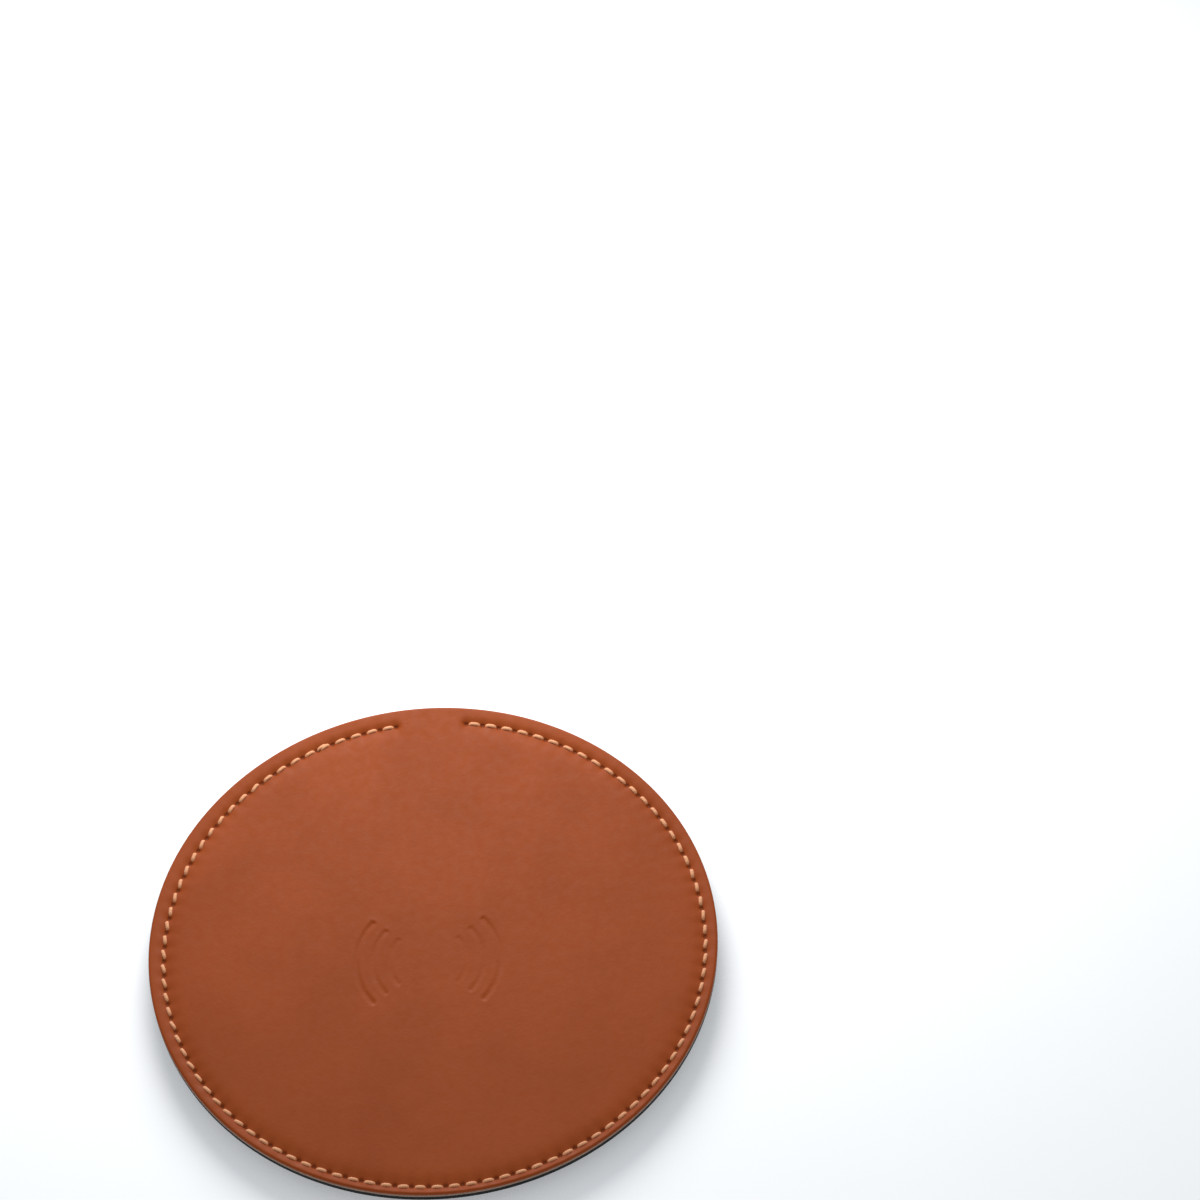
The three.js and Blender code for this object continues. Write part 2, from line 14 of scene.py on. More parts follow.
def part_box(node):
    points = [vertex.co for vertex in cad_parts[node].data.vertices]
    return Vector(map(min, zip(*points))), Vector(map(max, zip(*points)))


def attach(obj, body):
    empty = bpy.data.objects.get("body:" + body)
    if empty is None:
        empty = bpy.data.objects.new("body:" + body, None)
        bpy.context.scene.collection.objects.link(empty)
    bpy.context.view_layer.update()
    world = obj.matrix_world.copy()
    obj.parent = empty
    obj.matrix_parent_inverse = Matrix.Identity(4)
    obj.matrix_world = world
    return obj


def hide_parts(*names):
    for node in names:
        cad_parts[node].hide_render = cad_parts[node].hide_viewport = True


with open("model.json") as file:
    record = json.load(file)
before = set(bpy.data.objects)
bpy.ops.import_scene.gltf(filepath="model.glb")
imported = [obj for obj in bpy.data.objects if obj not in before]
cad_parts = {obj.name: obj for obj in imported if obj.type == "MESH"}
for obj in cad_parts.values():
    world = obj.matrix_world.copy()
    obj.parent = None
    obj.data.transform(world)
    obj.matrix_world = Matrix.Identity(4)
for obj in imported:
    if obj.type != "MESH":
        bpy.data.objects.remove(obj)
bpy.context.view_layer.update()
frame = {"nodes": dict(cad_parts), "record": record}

MM = 0.001


def box_mm(node):
    """Lowest and highest corner of a CAD node, in millimetres."""
    low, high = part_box(node)
    return [value / MM for value in low], [value / MM for value in high]


# ---- Dimensions, in millimetres and degrees -----------------------------------------------------

LEATHER_LOW, LEATHER_HIGH = box_mm("leather_top")
COVER_LOW, COVER_HIGH = box_mm("base_cover")
FOOT_LOW, FOOT_HIGH = box_mm("foot_ring")
FOAM_LOW, FOAM_HIGH = box_mm("foam_disc")
COLLAR_LOW, COLLAR_HIGH = box_mm("port_collar")
SHELL_LOW, SHELL_HIGH = box_mm("usb_c_shell")
TONGUE_LOW, TONGUE_HIGH = box_mm("usb_c_tongue")
COIL_LOW, COIL_HIGH = box_mm("charging_coil")

PAD_RADIUS = LEATHER_HIGH[0]
PAD_TOP = LEATHER_HIGH[2]
PORT_ANGLE = 90  # from +X, anticlockwise seen from above

# The seam: a ring of stitches that stays open around the port.
SEAM_CENTRE = (0.3, -1.0)
SEAM_RADIUS = 57.15
STITCH_COUNT = 97
SEAM_TURN = 0.4  # the opening lies this much anticlockwise of the port
END_STITCH_ANGLE = 9.28  # from the middle of the opening to the middle of the first stitch
STITCH_PITCH = (360 - 2 * END_STITCH_ANGLE) / (STITCH_COUNT - 1)
FIRST_HOLE = END_STITCH_ANGLE - STITCH_PITCH / 2
LAST_HOLE = 360 - FIRST_HOLE
SEAM_START = PORT_ANGLE + SEAM_TURN
MM_PER_DEGREE = math.radians(SEAM_RADIUS)

# Leather surface.
LEATHER_FLAT = PAD_TOP - 0.03
HIGHEST_LEATHER = PAD_TOP - 0.005
LOWEST_LEATHER = 5.7
UNDULATION = 0.012
UNDULATION_WAVES = 9
UNDULATION_LENGTHS = (14, 45)
RIM_DROP = 0.02
RIM_DROP_SPAN = (0.6, 1.4)  # outside the seam
EDGE_ROUNDING = 0.5
CUT_EDGE_INNER = 59.1
CUT_EDGE_OUTER = 59.97
CUT_EDGE_TOP = 5.8
LEATHER_INSET = 0.03  # of the leather's lower rim and inner wall, next to the cut edge
LEATHER_GAP = 0.02  # over the cut edge's top and over the base

# What the seam's thread does to the leather.
VALLEY_DEPTH = 0.5
VALLEY_SWELL = 0.1  # share of the depth that goes up and down from hole to stitch
VALLEY_INNER_WIDTH = 1.9
VALLEY_INNER_POWER = 1.7
VALLEY_OUTER_WIDTH = 1.0
VALLEY_FADE = (-0.2, 1.9)  # the valley runs out over this span beyond the end holes
HOLE_DEPTH = 0.34
HOLE_HALF_LENGTH = 0.5
HOLE_INNER_WIDTH = 0.6
HOLE_OUTER_WIDTH = 0.27
HOLE_POWER = 1.5
PUCKER_HEIGHT = 0.02
PUCKER_REACH = 1.9

# Heights between which the leather turns darker: the first span is partly the burnished colour of pressed
# leather and partly painted shade in the seam's valley, the second is painted shade in the needle holes.
PRESSED_AND_SHADED_SPAN = (6.45, 6.0)
HOLE_PAINTED_SHADE_SPAN = (5.92, 5.72)

# Pressed wave symbol.
SYMBOL_CENTRE = (-0.9, -3.4)
SYMBOL_ARCS = ((8.2, 0.35), (11.7, 0.6), (15.2, 1.0))  # radius and strength of the press
SYMBOL_HALF_ANGLE = 40
SYMBOL_DEPTH = 0.27
SYMBOL_HALF_WIDTH = 0.72
SYMBOL_FLOOR_HALF_WIDTH = 0.15
SYMBOL_MIDDLE_PRESS = 0.35  # depth in the middle of an arc, as a share of the depth at its ends
SYMBOL_RIGHT_PRESS = 0.8  # the arcs on the right are pressed less
SYMBOL_LIP = 0.12  # height of the raised lip, as a share of the press
SYMBOL_LIP_OFFSET = 0.25
SYMBOL_LIP_WIDTH = 0.3

# Thread.
THREAD_HALF_WIDTH = 0.39
THREAD_HALF_HEIGHT = 0.28
THREAD_LENGTH = 2.5
THREAD_DIVE = 0.55  # how far a stitch's ends go down into their holes
THREAD_END_TAPER = 0.3
THREAD_PLIES = 3
THREAD_PLY_RELIEF = 0.07
THREAD_TWIST_LENGTH = 1.5
THREAD_STEPS = 20
THREAD_SIDES = 14
TOP_THREAD_Z = 6.18
TOP_THREAD_LIFT = (-0.02, 0.01)
BOTTOM_THREAD_Z = 3.86
BOTTOM_THREAD_SCALE = 0.85
BOTTOM_THREAD_DIVE = THREAD_DIVE * 0.6
STITCH_LEAN = 3
STITCH_LEAN_SWING = 8
STITCH_LEAN_SCATTER = 2.5
STITCH_LENGTH_SCATTER = 0.02
STITCH_SIZE_SCATTER = 0.03

# The seam is locked by sewing this stitch, counted from 0, twice.
DOUBLED_STITCH = 4
DOUBLED_SHIFT = 0.16  # of a stitch
DOUBLED_LEAN = 12
DOUBLED_LENGTH = THREAD_LENGTH * 1.02
DOUBLED_LIFT = 0.02
DOUBLED_SCALE = 0.85
DOUBLED_OFFSET = 0.25

# Base cover, a dished sheet with a flange.
SHEET_THICKNESS = 0.8
FLAT_RADIUS = 51.8
FLANGE_INNER = 55.2
FLANGE_RADIUS = COVER_HIGH[0]
FLANGE_TOP = COVER_HIGH[2]
FLANGE_THICKNESS = 1.3
FLANGE_BOTTOM = FLANGE_TOP - FLANGE_THICKNESS
FLANGE_EDGE_ROUNDING = 0.12
SHEET_BEND = 0.5
SHEET_SEAM_SCALE = 0.6  # depth of the seam's valley from below, as a share of the leather's
FOOT_INNER_RADIUS = 40
FOOT_SEAT_DEPTH = 0.25
FOOT_SEAT_MARGIN = 0.3
COLLAR_OPENING_MARGIN = 0.3

# USB-C receptacle.
PORT_Z = (SHELL_LOW[2] + SHELL_HIGH[2]) / 2
SLOT_WIDTH = 9.5
SLOT_HEIGHT = 3.4
SHELL_WALL = 0.3
TONGUE_WIDTH = 6.7
TONGUE_THICKNESS = 0.7
PILL_GAP = 0.01  # a pill shape's corners are this much less than half its height
CONTACT_COUNT = 12
CONTACT_PITCH = 0.5

# Coil.
COIL_TURNS = 10
COIL_INNER_RADIUS = 10.4
COIL_WIRE_RADIUS = 0.49
COIL_CLEARANCE = 0.05

# Camera: the photograph's viewing direction, through a long lens.
CAMERA_AZIMUTH = 4.03
CAMERA_ELEVATION = 56.38
CAMERA_ROLL = -5.75
CAMERA_DISTANCE = 2.1565  # metres, as the aim
CAMERA_AIM = (0.0361, 0.0899, 0.0)
LENS = 300
SENSOR = 36


# ---- Camera and light ---------------------------------------------------------------------------

def direction(azimuth, elevation):
    """Unit vector towards something seen at that azimuth and elevation, azimuth 0 being -Y."""
    a, e = math.radians(azimuth), math.radians(elevation)
    return Vector((math.sin(a) * math.cos(e), -math.cos(a) * math.cos(e), math.sin(e)))


def make_camera():
    back = direction(CAMERA_AZIMUTH, CAMERA_ELEVATION)
    level_right = Vector((0, 0, 1)).cross(back).normalized()
    level_up = back.cross(level_right)
    roll = math.radians(CAMERA_ROLL)
    right = level_right * math.cos(roll) + level_up * math.sin(roll)
    up = back.cross(right)
    data = bpy.data.cameras.new("camera")
    data.lens = LENS
    data.sensor_width = SENSOR
    data.clip_start = 0.01
    data.clip_end = 20
    camera = bpy.data.objects.new("camera", data)
    bpy.context.scene.collection.objects.link(camera)
    axes = Matrix((right, up, back)).transposed().to_4x4()
    position = Vector(CAMERA_AIM) + back * CAMERA_DISTANCE
    camera.matrix_world = Matrix.Translation(position) @ axes
    bpy.context.scene.camera = camera


def area_light(name, azimuth, elevation, distance, size, power, colour):
    data = bpy.data.lights.new(name, "AREA")
    data.shape = "DISK"
    data.size = size
    data.energy = power
    data.color = colour
    light = bpy.data.objects.new(name, data)
    light.visible_camera = False
    bpy.context.scene.collection.objects.link(light)
    towards = direction(azimuth, elevation)
    light.location = towards * distance
    light.rotation_mode = "QUATERNION"
    light.rotation_quaternion = towards.to_track_quat("Z", "Y")


def make_world():
    world = bpy.data.worlds.new("studio")
    world.use_nodes = True
    background = world.node_tree.nodes["Background"]
    background.inputs["Color"].default_value = (0.93, 0.965, 1.0, 1)
    background.inputs["Strength"].default_value = 0.46
    bpy.context.scene.world = world


make_camera()
make_world()
area_light("key_light", azimuth=183, elevation=37, distance=0.275, size=0.2, power=0.83,
           colour=(1.0, 0.985, 0.96))
bpy.context.scene.view_settings.view_transform = "Standard"


# ---- Node materials -----------------------------------------------------------------------------

class Surface:
    """A Principled material whose colour, roughness and bump come from nodes in object space."""

    def __init__(self, name, roughness=0.5, metallic=0.0, specular=0.5):
        self.material = bpy.data.materials.new(name)
        self.material.use_nodes = True
        self.tree = self.material.node_tree
        self.tree.nodes.clear()
        self.shader = self.tree.nodes.new("ShaderNodeBsdfPrincipled")
        output = self.tree.nodes.new("ShaderNodeOutputMaterial")
        self.link(self.shader.outputs["BSDF"], output.inputs["Surface"])
        self.shader.inputs["Roughness"].default_value = roughness
        self.shader.inputs["Metallic"].default_value = metallic
        self.shader.inputs["Specular IOR Level"].default_value = specular
        self.place = self.tree.nodes.new("ShaderNodeTexCoord").outputs["Object"]

    def link(self, start, end):
        self.tree.links.new(start, end)

    def noise(self, size, detail=3, roughness=0.55, stretch=None):
        """Noise whose features are about size metres across."""
        node = self.tree.nodes.new("ShaderNodeTexNoise")
        node.inputs["Scale"].default_value = 1 / size
        node.inputs["Detail"].default_value = detail
        node.inputs["Roughness"].default_value = roughness
        self.link(self.stretched(stretch) if stretch else self.place, node.inputs["Vector"])
        return node.outputs["Fac"]

    def cells(self, size, feature="F1", stretch=None):
        """Distance inside cells that are about size metres across."""
        node = self.tree.nodes.new("ShaderNodeTexVoronoi")
        node.feature = feature
        node.inputs["Scale"].default_value = 1 / size
        self.link(self.stretched(stretch) if stretch else self.place, node.inputs["Vector"])
        return node.outputs["Distance"]

    def stretched(self, scale):
        node = self.tree.nodes.new("ShaderNodeMapping")
        node.inputs["Scale"].default_value = scale
        self.link(self.place, node.inputs["Vector"])
        return node.outputs["Vector"]

    def height(self):
        """Z of the point, in metres."""
        node = self.tree.nodes.new("ShaderNodeSeparateXYZ")
        self.link(self.place, node.inputs["Vector"])
        return node.outputs["Z"]

    def spread(self, value, low, high, new_low=0, new_high=1):
        """value from low..high, turned into new_low..new_high and held there."""
        node = self.tree.nodes.new("ShaderNodeMapRange")
        for name, number in (
            ("From Min", low),
            ("From Max", high),
            ("To Min", new_low),
            ("To Max", new_high),
        ):
            node.inputs[name].default_value = number
        self.link(value, node.inputs["Value"])
        return node.outputs["Result"]

    def calculate(self, operation, first, second):
        node = self.tree.nodes.new("ShaderNodeMath")
        node.operation = operation
        for value, socket in zip((first, second), node.inputs):
            if isinstance(value, float):
                socket.default_value = value
            else:
                self.link(value, socket)
        return node.outputs["Value"]

    def blend(self, fac, first, second):
        """Colour between first and second; each is a colour or a socket."""
        node = self.tree.nodes.new("ShaderNodeMix")
        node.data_type = "RGBA"
        colours = [socket for socket in node.inputs if socket.type == "RGBA"]
        for value, socket in zip((first, second), colours):
            if isinstance(value, tuple):
                socket.default_value = (*value, 1)
            else:
                self.link(value, socket)
        self.link(fac, node.inputs["Factor"])
        return next(socket for socket in node.outputs if socket.type == "RGBA")

    def colour(self, value):
        self.link(value, self.shader.inputs["Base Color"])

    def roughness(self, value):
        self.link(value, self.shader.inputs["Roughness"])

    def bump(self, height, distance):
        """Bump of that height, where a value of 1 stands distance metres proud."""
        node = self.tree.nodes.new("ShaderNodeBump")
        node.inputs["Distance"].default_value = distance
        self.link(height, node.inputs["Height"])
        self.link(node.outputs["Normal"], self.shader.inputs["Normal"])

    def grain(self, coarse, fine, distance, weight=0.5):
        """Leather-like grain: coarse noise mixed with fine cells, which have that weight."""
        mixed = self.calculate(
            "ADD",
            self.calculate("MULTIPLY", self.noise(coarse), 1 - weight),
            self.calculate("MULTIPLY", self.cells(fine, "SMOOTH_F1"), weight),
        )
        self.bump(mixed, distance)


def leather_material():
    """Smooth tan leather, mottled, darker where it is pressed in (the burnished colour of the pressed
    symbol, and painted shade in the seam's valley), with painted shade in the needle holes.
    """
    dark, light, freckle = (0.285, 0.0525, 0.0072), (0.315, 0.0590, 0.0092), (0.25, 0.043, 0.0065)
    # The dark press colour is partly the burnished colour of pressed leather and partly painted shade in the
    # seam's valley; the needle-hole colour is painted shade in the holes.
    press_mark_and_painted_shade, needle_hole_painted_shade = (0.15, 0.024, 0.004), (0.09, 0.015, 0.002)
    surface = Surface("tan_leather", specular=0.115)
    clouds = surface.spread(surface.noise(0.017, 2), 0.35, 0.65)
    freckles = surface.spread(surface.noise(0.0016, 4), 0.42, 0.72, 0, 0.22)
    height = surface.height()
    # Darker with depth: the burnished colour of pressed leather, and painted shade in the seam's valley.
    pressed_and_painted_shade = surface.spread(height, PRESSED_AND_SHADED_SPAN[0] * MM, PRESSED_AND_SHADED_SPAN[1] * MM, 0, 0.08)
    # Painted shade at the bottom of the needle holes.
    hole_painted_shade = surface.spread(height, HOLE_PAINTED_SHADE_SPAN[0] * MM, HOLE_PAINTED_SHADE_SPAN[1] * MM, 0, 0.55)
    colour = surface.blend(clouds, dark, light)
    for amount, mark in ((freckles, freckle), (pressed_and_painted_shade, press_mark_and_painted_shade), (hole_painted_shade, needle_hole_painted_shade)):
        colour = surface.blend(amount, colour, mark)
    surface.colour(colour)
    surface.roughness(surface.spread(surface.noise(0.0022, 3), 0.3, 0.7, 0.46, 0.6))
    surface.grain(0.0011, 0.0006, 0.00003)
    return surface.material


def cut_edge_material():
    """Raw grey-tan fibres along the cut edge of the leather."""
    dark, light = (0.22, 0.135, 0.10), (0.38, 0.27, 0.21)
    surface = Surface("leather_cut_edge", roughness=0.9, specular=0.2)
    fibres = surface.noise(0.0005, 4, stretch=(1, 1, 3))
    surface.colour(surface.blend(surface.spread(fibres, 0.3, 0.7), dark, light))
    surface.bump(fibres, 0.00006)
    return surface.material


def thread_material(name, dark, light, roughness):
    """Twisted polyester thread."""
    surface = Surface(name, roughness=roughness, specular=0.3)
    surface.shader.inputs["Sheen Weight"].default_value = 0.25
    strands = surface.noise(0.00022, 3)
    surface.colour(surface.blend(surface.spread(strands, 0.3, 0.7), dark, light))
    surface.bump(strands, 0.00003)
    return surface.material


def black_sheet_material():
    """Black rubber-backed sheet with a fine pebbled face."""
    dark, light = (0.004, 0.004, 0.0044), (0.0075, 0.0072, 0.0072)
    surface = Surface("black_sheet", specular=0.14)
    clouds = surface.spread(surface.noise(0.006, 3), 0.3, 0.7)
    surface.colour(surface.blend(clouds, dark, light))
    surface.roughness(surface.spread(surface.noise(0.0012, 3), 0.3, 0.7, 0.5, 0.68))
    surface.grain(0.0012, 0.0007, 0.00009, 0.75)
    return surface.material


def silicone_material():
    """Matt black silicone with a little dust in its pores."""
    black, dusty = (0.013, 0.013, 0.014), (0.075, 0.072, 0.068)
    surface = Surface("silicone", roughness=0.62, specular=0.4)
    dust = surface.spread(surface.noise(0.0009, 5, 0.7), 0.62, 0.8, 0, 0.3)
    surface.colour(surface.blend(dust, black, dusty))
    surface.bump(surface.noise(0.0004, 2), 0.00002)
    return surface.material


def moulded_plastic_material(name, dark, light, roughness):
    """Spark-eroded moulded plastic."""
    surface = Surface(name, specular=0.45)
    texture = surface.noise(0.0003, 3, 0.7)
    surface.colour(surface.blend(surface.noise(0.008, 2), dark, light))
    surface.roughness(surface.spread(texture, 0.3, 0.7, roughness - 0.06, roughness + 0.08))
    surface.bump(texture, 0.000025)
    return surface.material


def metal_material(name, dark, light, roughness, brushed=(1, 1, 1)):
    """Metal with fine drawn lines and faint tarnish."""
    surface = Surface(name, metallic=1.0)
    lines = surface.noise(0.0004, 4, 0.65, stretch=brushed)
    tarnish = surface.spread(surface.noise(0.003, 3), 0.35, 0.7)
    surface.colour(surface.blend(tarnish, dark, light))
    surface.roughness(surface.spread(lines, 0.25, 0.75, roughness - 0.07, roughness + 0.1))
    surface.bump(lines, 0.000004)
    return surface.material


def foam_material():
    """Grey open-cell foam, with painted shade in its pores."""
    pore_painted_shade, wall = (0.06, 0.06, 0.065), (0.2, 0.2, 0.21)
    surface = Surface("foam", roughness=0.95, specular=0.1)
    pores = surface.cells(0.0006)
    # The pores' dark colour is painted shade in the pits.
    surface.colour(surface.blend(surface.spread(pores, 0.1, 0.6), pore_painted_shade, wall))
    surface.bump(pores, 0.0002)
    return surface.material


def ferrite_material():
    """Dark sintered ferrite with a faint network of hairline cracks."""
    dark, light, crack = (0.018, 0.018, 0.02), (0.035, 0.034, 0.036), (0.008, 0.008, 0.008)
    surface = Surface("ferrite", roughness=0.38)
    cracks = surface.cells(0.0042, "DISTANCE_TO_EDGE")
    body = surface.blend(surface.noise(0.002), dark, light)
    surface.colour(surface.blend(surface.spread(cracks, 0.0, 0.03, 1, 0), body, crack))
    surface.bump(cracks, 0.00002)
    return surface.material


def board_material():
    """Green solder mask over copper tracks."""
    deep_green, raised_green, stain = (0.006, 0.045, 0.018), (0.012, 0.095, 0.035), (0.004, 0.03, 0.012)
    surface = Surface("board", roughness=0.33)
    tracks = surface.cells(0.0016, "DISTANCE_TO_EDGE", stretch=(1, 0.45, 1))
    raised = surface.spread(tracks, 0.06, 0.1, 1, 0)
    stains = surface.spread(surface.noise(0.004), 0.4, 0.8, 0, 0.3)
    surface.colour(surface.blend(stains, surface.blend(raised, deep_green, raised_green), stain))
    surface.bump(raised, 0.00003)
    return surface.material


def ceramic_material(name, dark, light):
    """Fired ceramic body with a fine speckle."""
    surface = Surface(name, roughness=0.42)
    speckle = surface.noise(0.0004, 4, 0.7)
    surface.colour(surface.blend(surface.spread(speckle, 0.45, 0.8, 0, 0.6), dark, light))
    surface.bump(speckle, 0.00001)
    return surface.material


def film_material():
    """Amber polyimide film."""
    dark, light = (0.36, 0.12, 0.012), (0.5, 0.19, 0.022)
    surface = Surface("film", roughness=0.22)
    surface.shader.inputs["Coat Weight"].default_value = 0.3
    surface.colour(surface.blend(surface.noise(0.003, 3), dark, light))
    surface.bump(surface.noise(0.0015, 2), 0.00002)
    return surface.material


def floor_material():
    """Pale studio floor with barely visible clouds."""
    dark, light = (0.87, 0.885, 0.905), (0.885, 0.9, 0.92)
    surface = Surface("floor", roughness=0.8, specular=0.1)
    surface.colour(surface.blend(surface.noise(0.02, 4), dark, light))
    surface.shader.inputs["Emission Color"].default_value = (0.96, 0.98, 1, 1)
    surface.shader.inputs["Emission Strength"].default_value = 0.27
    return surface.material


MATERIALS = {
    "tan_leather": leather_material(),
    "cut_edge": cut_edge_material(),
    "tan_thread": thread_material("tan_thread", (0.64, 0.26, 0.115), (0.86, 0.41, 0.20), 0.55),
    "black_thread": thread_material("black_thread", (0.006, 0.006, 0.007), (0.03, 0.03, 0.032), 0.6),
    "black_sheet": black_sheet_material(),
    "silicone": silicone_material(),
    "foam": foam_material(),
    "abs_black": moulded_plastic_material(
        "abs_black", (0.012, 0.012, 0.013), (0.018, 0.018, 0.019), 0.48
    ),
    "contact_housing": moulded_plastic_material(
        "contact_housing", (0.010, 0.010, 0.011), (0.016, 0.016, 0.017), 0.4
    ),
    "screw_steel": metal_material("screw_steel", (0.42, 0.41, 0.4), (0.6, 0.59, 0.57), 0.3),
    "plug_steel": metal_material("plug_steel", (0.5, 0.49, 0.48), (0.68, 0.67, 0.66), 0.27, (1, 0.15, 1)),
    "gold": metal_material("gold", (0.75, 0.48, 0.16), (0.9, 0.62, 0.24), 0.24, (1, 0.1, 1)),
    "copper": metal_material("copper", (0.62, 0.22, 0.10), (0.82, 0.36, 0.18), 0.32),
    "film": film_material(),
    "ferrite": ferrite_material(),
    "board": board_material(),
    "chip": moulded_plastic_material("chip", (0.012, 0.012, 0.013), (0.022, 0.022, 0.023), 0.55),
    "capacitor": ceramic_material("capacitor", (0.30, 0.17, 0.08), (0.42, 0.28, 0.16)),
}


# ---- Mesh helpers -------------------------------------------------------------------------------

def make_piece(name, vertices, faces, finish, slot, nodes):
    """A mesh piece from points in millimetres, riding on the pad and standing for CAD nodes."""
    mesh = bpy.data.meshes.new(name)
    mesh.from_pydata([tuple(float(c) * MM for c in vertex) for vertex in vertices], [], faces)
    mesh.validate()
    mesh.materials.append(MATERIALS[finish])
    piece = bpy.data.objects.new(name, mesh)
    bpy.context.scene.collection.objects.link(piece)
    mesh.polygons.foreach_set("use_smooth", [True] * len(mesh.polygons))
    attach(piece, "root")
    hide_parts(*nodes)
    return piece


def sharpen(piece, degrees=35):
    """Keeps edges that turn by more than that angle crisp under smooth shading."""
    piece.data.set_sharp_from_angle(angle=math.radians(degrees))


def rings_to_faces(rings):
    """Faces between rings of points. A ring has as many points as the next, half as many, or twice as many.

    A ring of one point closes the surface. Faces look outwards when the rings run from the middle of the
    top, out over the edge and back along the bottom.
    """
    vertices = [tuple(point) for ring in rings for point in ring]
    starts = [0]
    for ring in rings:
        starts.append(starts[-1] + len(ring))
    faces = []
    for index in range(len(rings) - 1):
        n, m = len(rings[index]), len(rings[index + 1])
        a, b = starts[index], starts[index + 1]
        if n == 1:
            faces += [(a, b + i, b + (i + 1) % m) for i in range(m)]
        elif m == 1:
            faces += [(a + i, b, a + (i + 1) % n) for i in range(n)]
        elif n == m:
            faces += [(a + i, b + i, b + (i + 1) % m, a + (i + 1) % n) for i in range(n)]
        elif m == 2 * n:
            for i in range(n):
                faces.append((a + i, b + 2 * i, b + 2 * i + 1))
                faces.append((a + i, b + 2 * i + 1, a + (i + 1) % n))
                faces.append((a + (i + 1) % n, b + 2 * i + 1, b + (2 * i + 2) % m))
        else:
            for i in range(m):
                faces.append((a + 2 * i, b + i, a + 2 * i + 1))
                faces.append((a + 2 * i + 1, b + i, b + (i + 1) % m))
                faces.append((a + 2 * i + 1, b + (i + 1) % m, a + (2 * i + 2) % n))
    return vertices, faces


def loops_to_tube(loops, capped=True):
    """Faces between loops of equal length. A tube that isn't capped ends on its own first loop."""
    count = len(loops[0])
    vertices = [tuple(point) for loop in loops for point in loop]
    pairs = list(zip(range(len(loops) - 1), range(1, len(loops))))
    if not capped:
        pairs.append((len(loops) - 1, 0))
    faces = []
    for first, second in pairs:
        a, b = first * count, second * count
        faces += [(a + i, a + (i + 1) % count, b + (i + 1) % count, b + i) for i in range(count)]
    if capped:
        last = (len(loops) - 1) * count
        faces.append(tuple(reversed(range(count))))
        faces.append(tuple(range(last, last + count)))
    return vertices, faces


def joined(parts):
    """One list of vertices and faces from several."""
    vertices, faces = [], []
    for part_vertices, part_faces in parts:
        start = len(vertices)
        vertices += part_vertices
        faces += [tuple(start + i for i in face) for face in part_faces]
    return vertices, faces


def circle(radius, z, count):
    """Points around Z, anticlockwise seen from above."""
    return [
        (radius * math.cos(2 * math.pi * i / count), radius * math.sin(2 * math.pi * i / count), z)
        for i in range(count)
    ]


def turned(profile, count):
    """A closed ring turned about Z from an outline of (radius, z) points."""
    return loops_to_tube([circle(radius, z, count) for radius, z in profile], capped=False)


def corner_arc(centre, radius, start, end, steps):
    """Points of an arc in an outline, with angles in degrees."""
    angles = [math.radians(start + (end - start) * i / steps) for i in range(steps + 1)]
    return [(centre[0] + radius * math.cos(a), centre[1] + radius * math.sin(a)) for a in angles]


def rounded_outline(width, height, corner, per_corner=10):
    """A rounded rectangle around the origin, anticlockwise."""
    x, z = width / 2 - corner, height / 2 - corner
    outline = []
    for (centre_x, centre_z), start in zip(((x, z), (-x, z), (-x, -z), (x, -z)), (0, 90, 180, 270)):
        outline += corner_arc((centre_x, centre_z), corner, start, start + 90, per_corner)
    return outline


def standing(outline, middle_z, y):
    """An outline in XZ, placed at y, that looks along +Y."""
    return [(-x, y, middle_z + z) for x, z in outline]


def smooth_step(low, high, value):
    """0 up to low, 1 from high on, and a smooth rise between them."""
    t = np.clip((value - low) / (high - low), 0, 1)
    return t * t * (3 - 2 * t)


def cut_collar_opening(piece):
    """Cuts the opening that the port collar needs, right through the piece."""
    beyond = 1
    half_width = COLLAR_HIGH[0] + COLLAR_OPENING_MARGIN
    back, front = COLLAR_LOW[1] - COLLAR_OPENING_MARGIN, PAD_RADIUS + beyond
    floor_plan = ((-half_width, back), (half_width, back), (half_width, front), (-half_width, front))
    corners = [(x, y, z) for z in (-beyond, PAD_TOP + beyond) for x, y in floor_plan]
    faces = [(3, 2, 1, 0), (4, 5, 6, 7), (0, 1, 5, 4), (1, 2, 6, 5), (2, 3, 7, 6), (3, 0, 4, 7)]
    mesh = bpy.data.meshes.new("cutter")
    mesh.from_pydata([tuple(c * MM for c in corner) for corner in corners], [], faces)
    cutter = bpy.data.objects.new("cutter", mesh)
    bpy.context.scene.collection.objects.link(cutter)
    modifier = piece.modifiers.new("opening", "BOOLEAN")
    modifier.operation = "DIFFERENCE"
    modifier.solver = "EXACT"
    modifier.object = cutter
    bpy.context.view_layer.update()
    evaluated = piece.evaluated_get(bpy.context.evaluated_depsgraph_get())
    finished = bpy.data.meshes.new_from_object(evaluated)
    piece.modifiers.clear()
    piece.data = finished
    bpy.data.objects.remove(cutter)


# ---- Seam ---------------------------------------------------------------------------------------

def seam_angles(per_stitch, in_opening):
    """Angles all round the seam from the middle of its opening, closest together at the needle holes."""
    crowding = 0.35
    angles = []
    for stitch in range(STITCH_COUNT):
        for step in range(per_stitch):
            t = step / per_stitch
            t -= crowding * math.sin(2 * math.pi * t) / (2 * math.pi)
            angles.append(FIRST_HOLE + (stitch + t) * STITCH_PITCH)
    opening = 2 * FIRST_HOLE
    angles += [LAST_HOLE + opening * step / in_opening for step in range(in_opening)]
    return np.radians(np.array(angles) + SEAM_START)


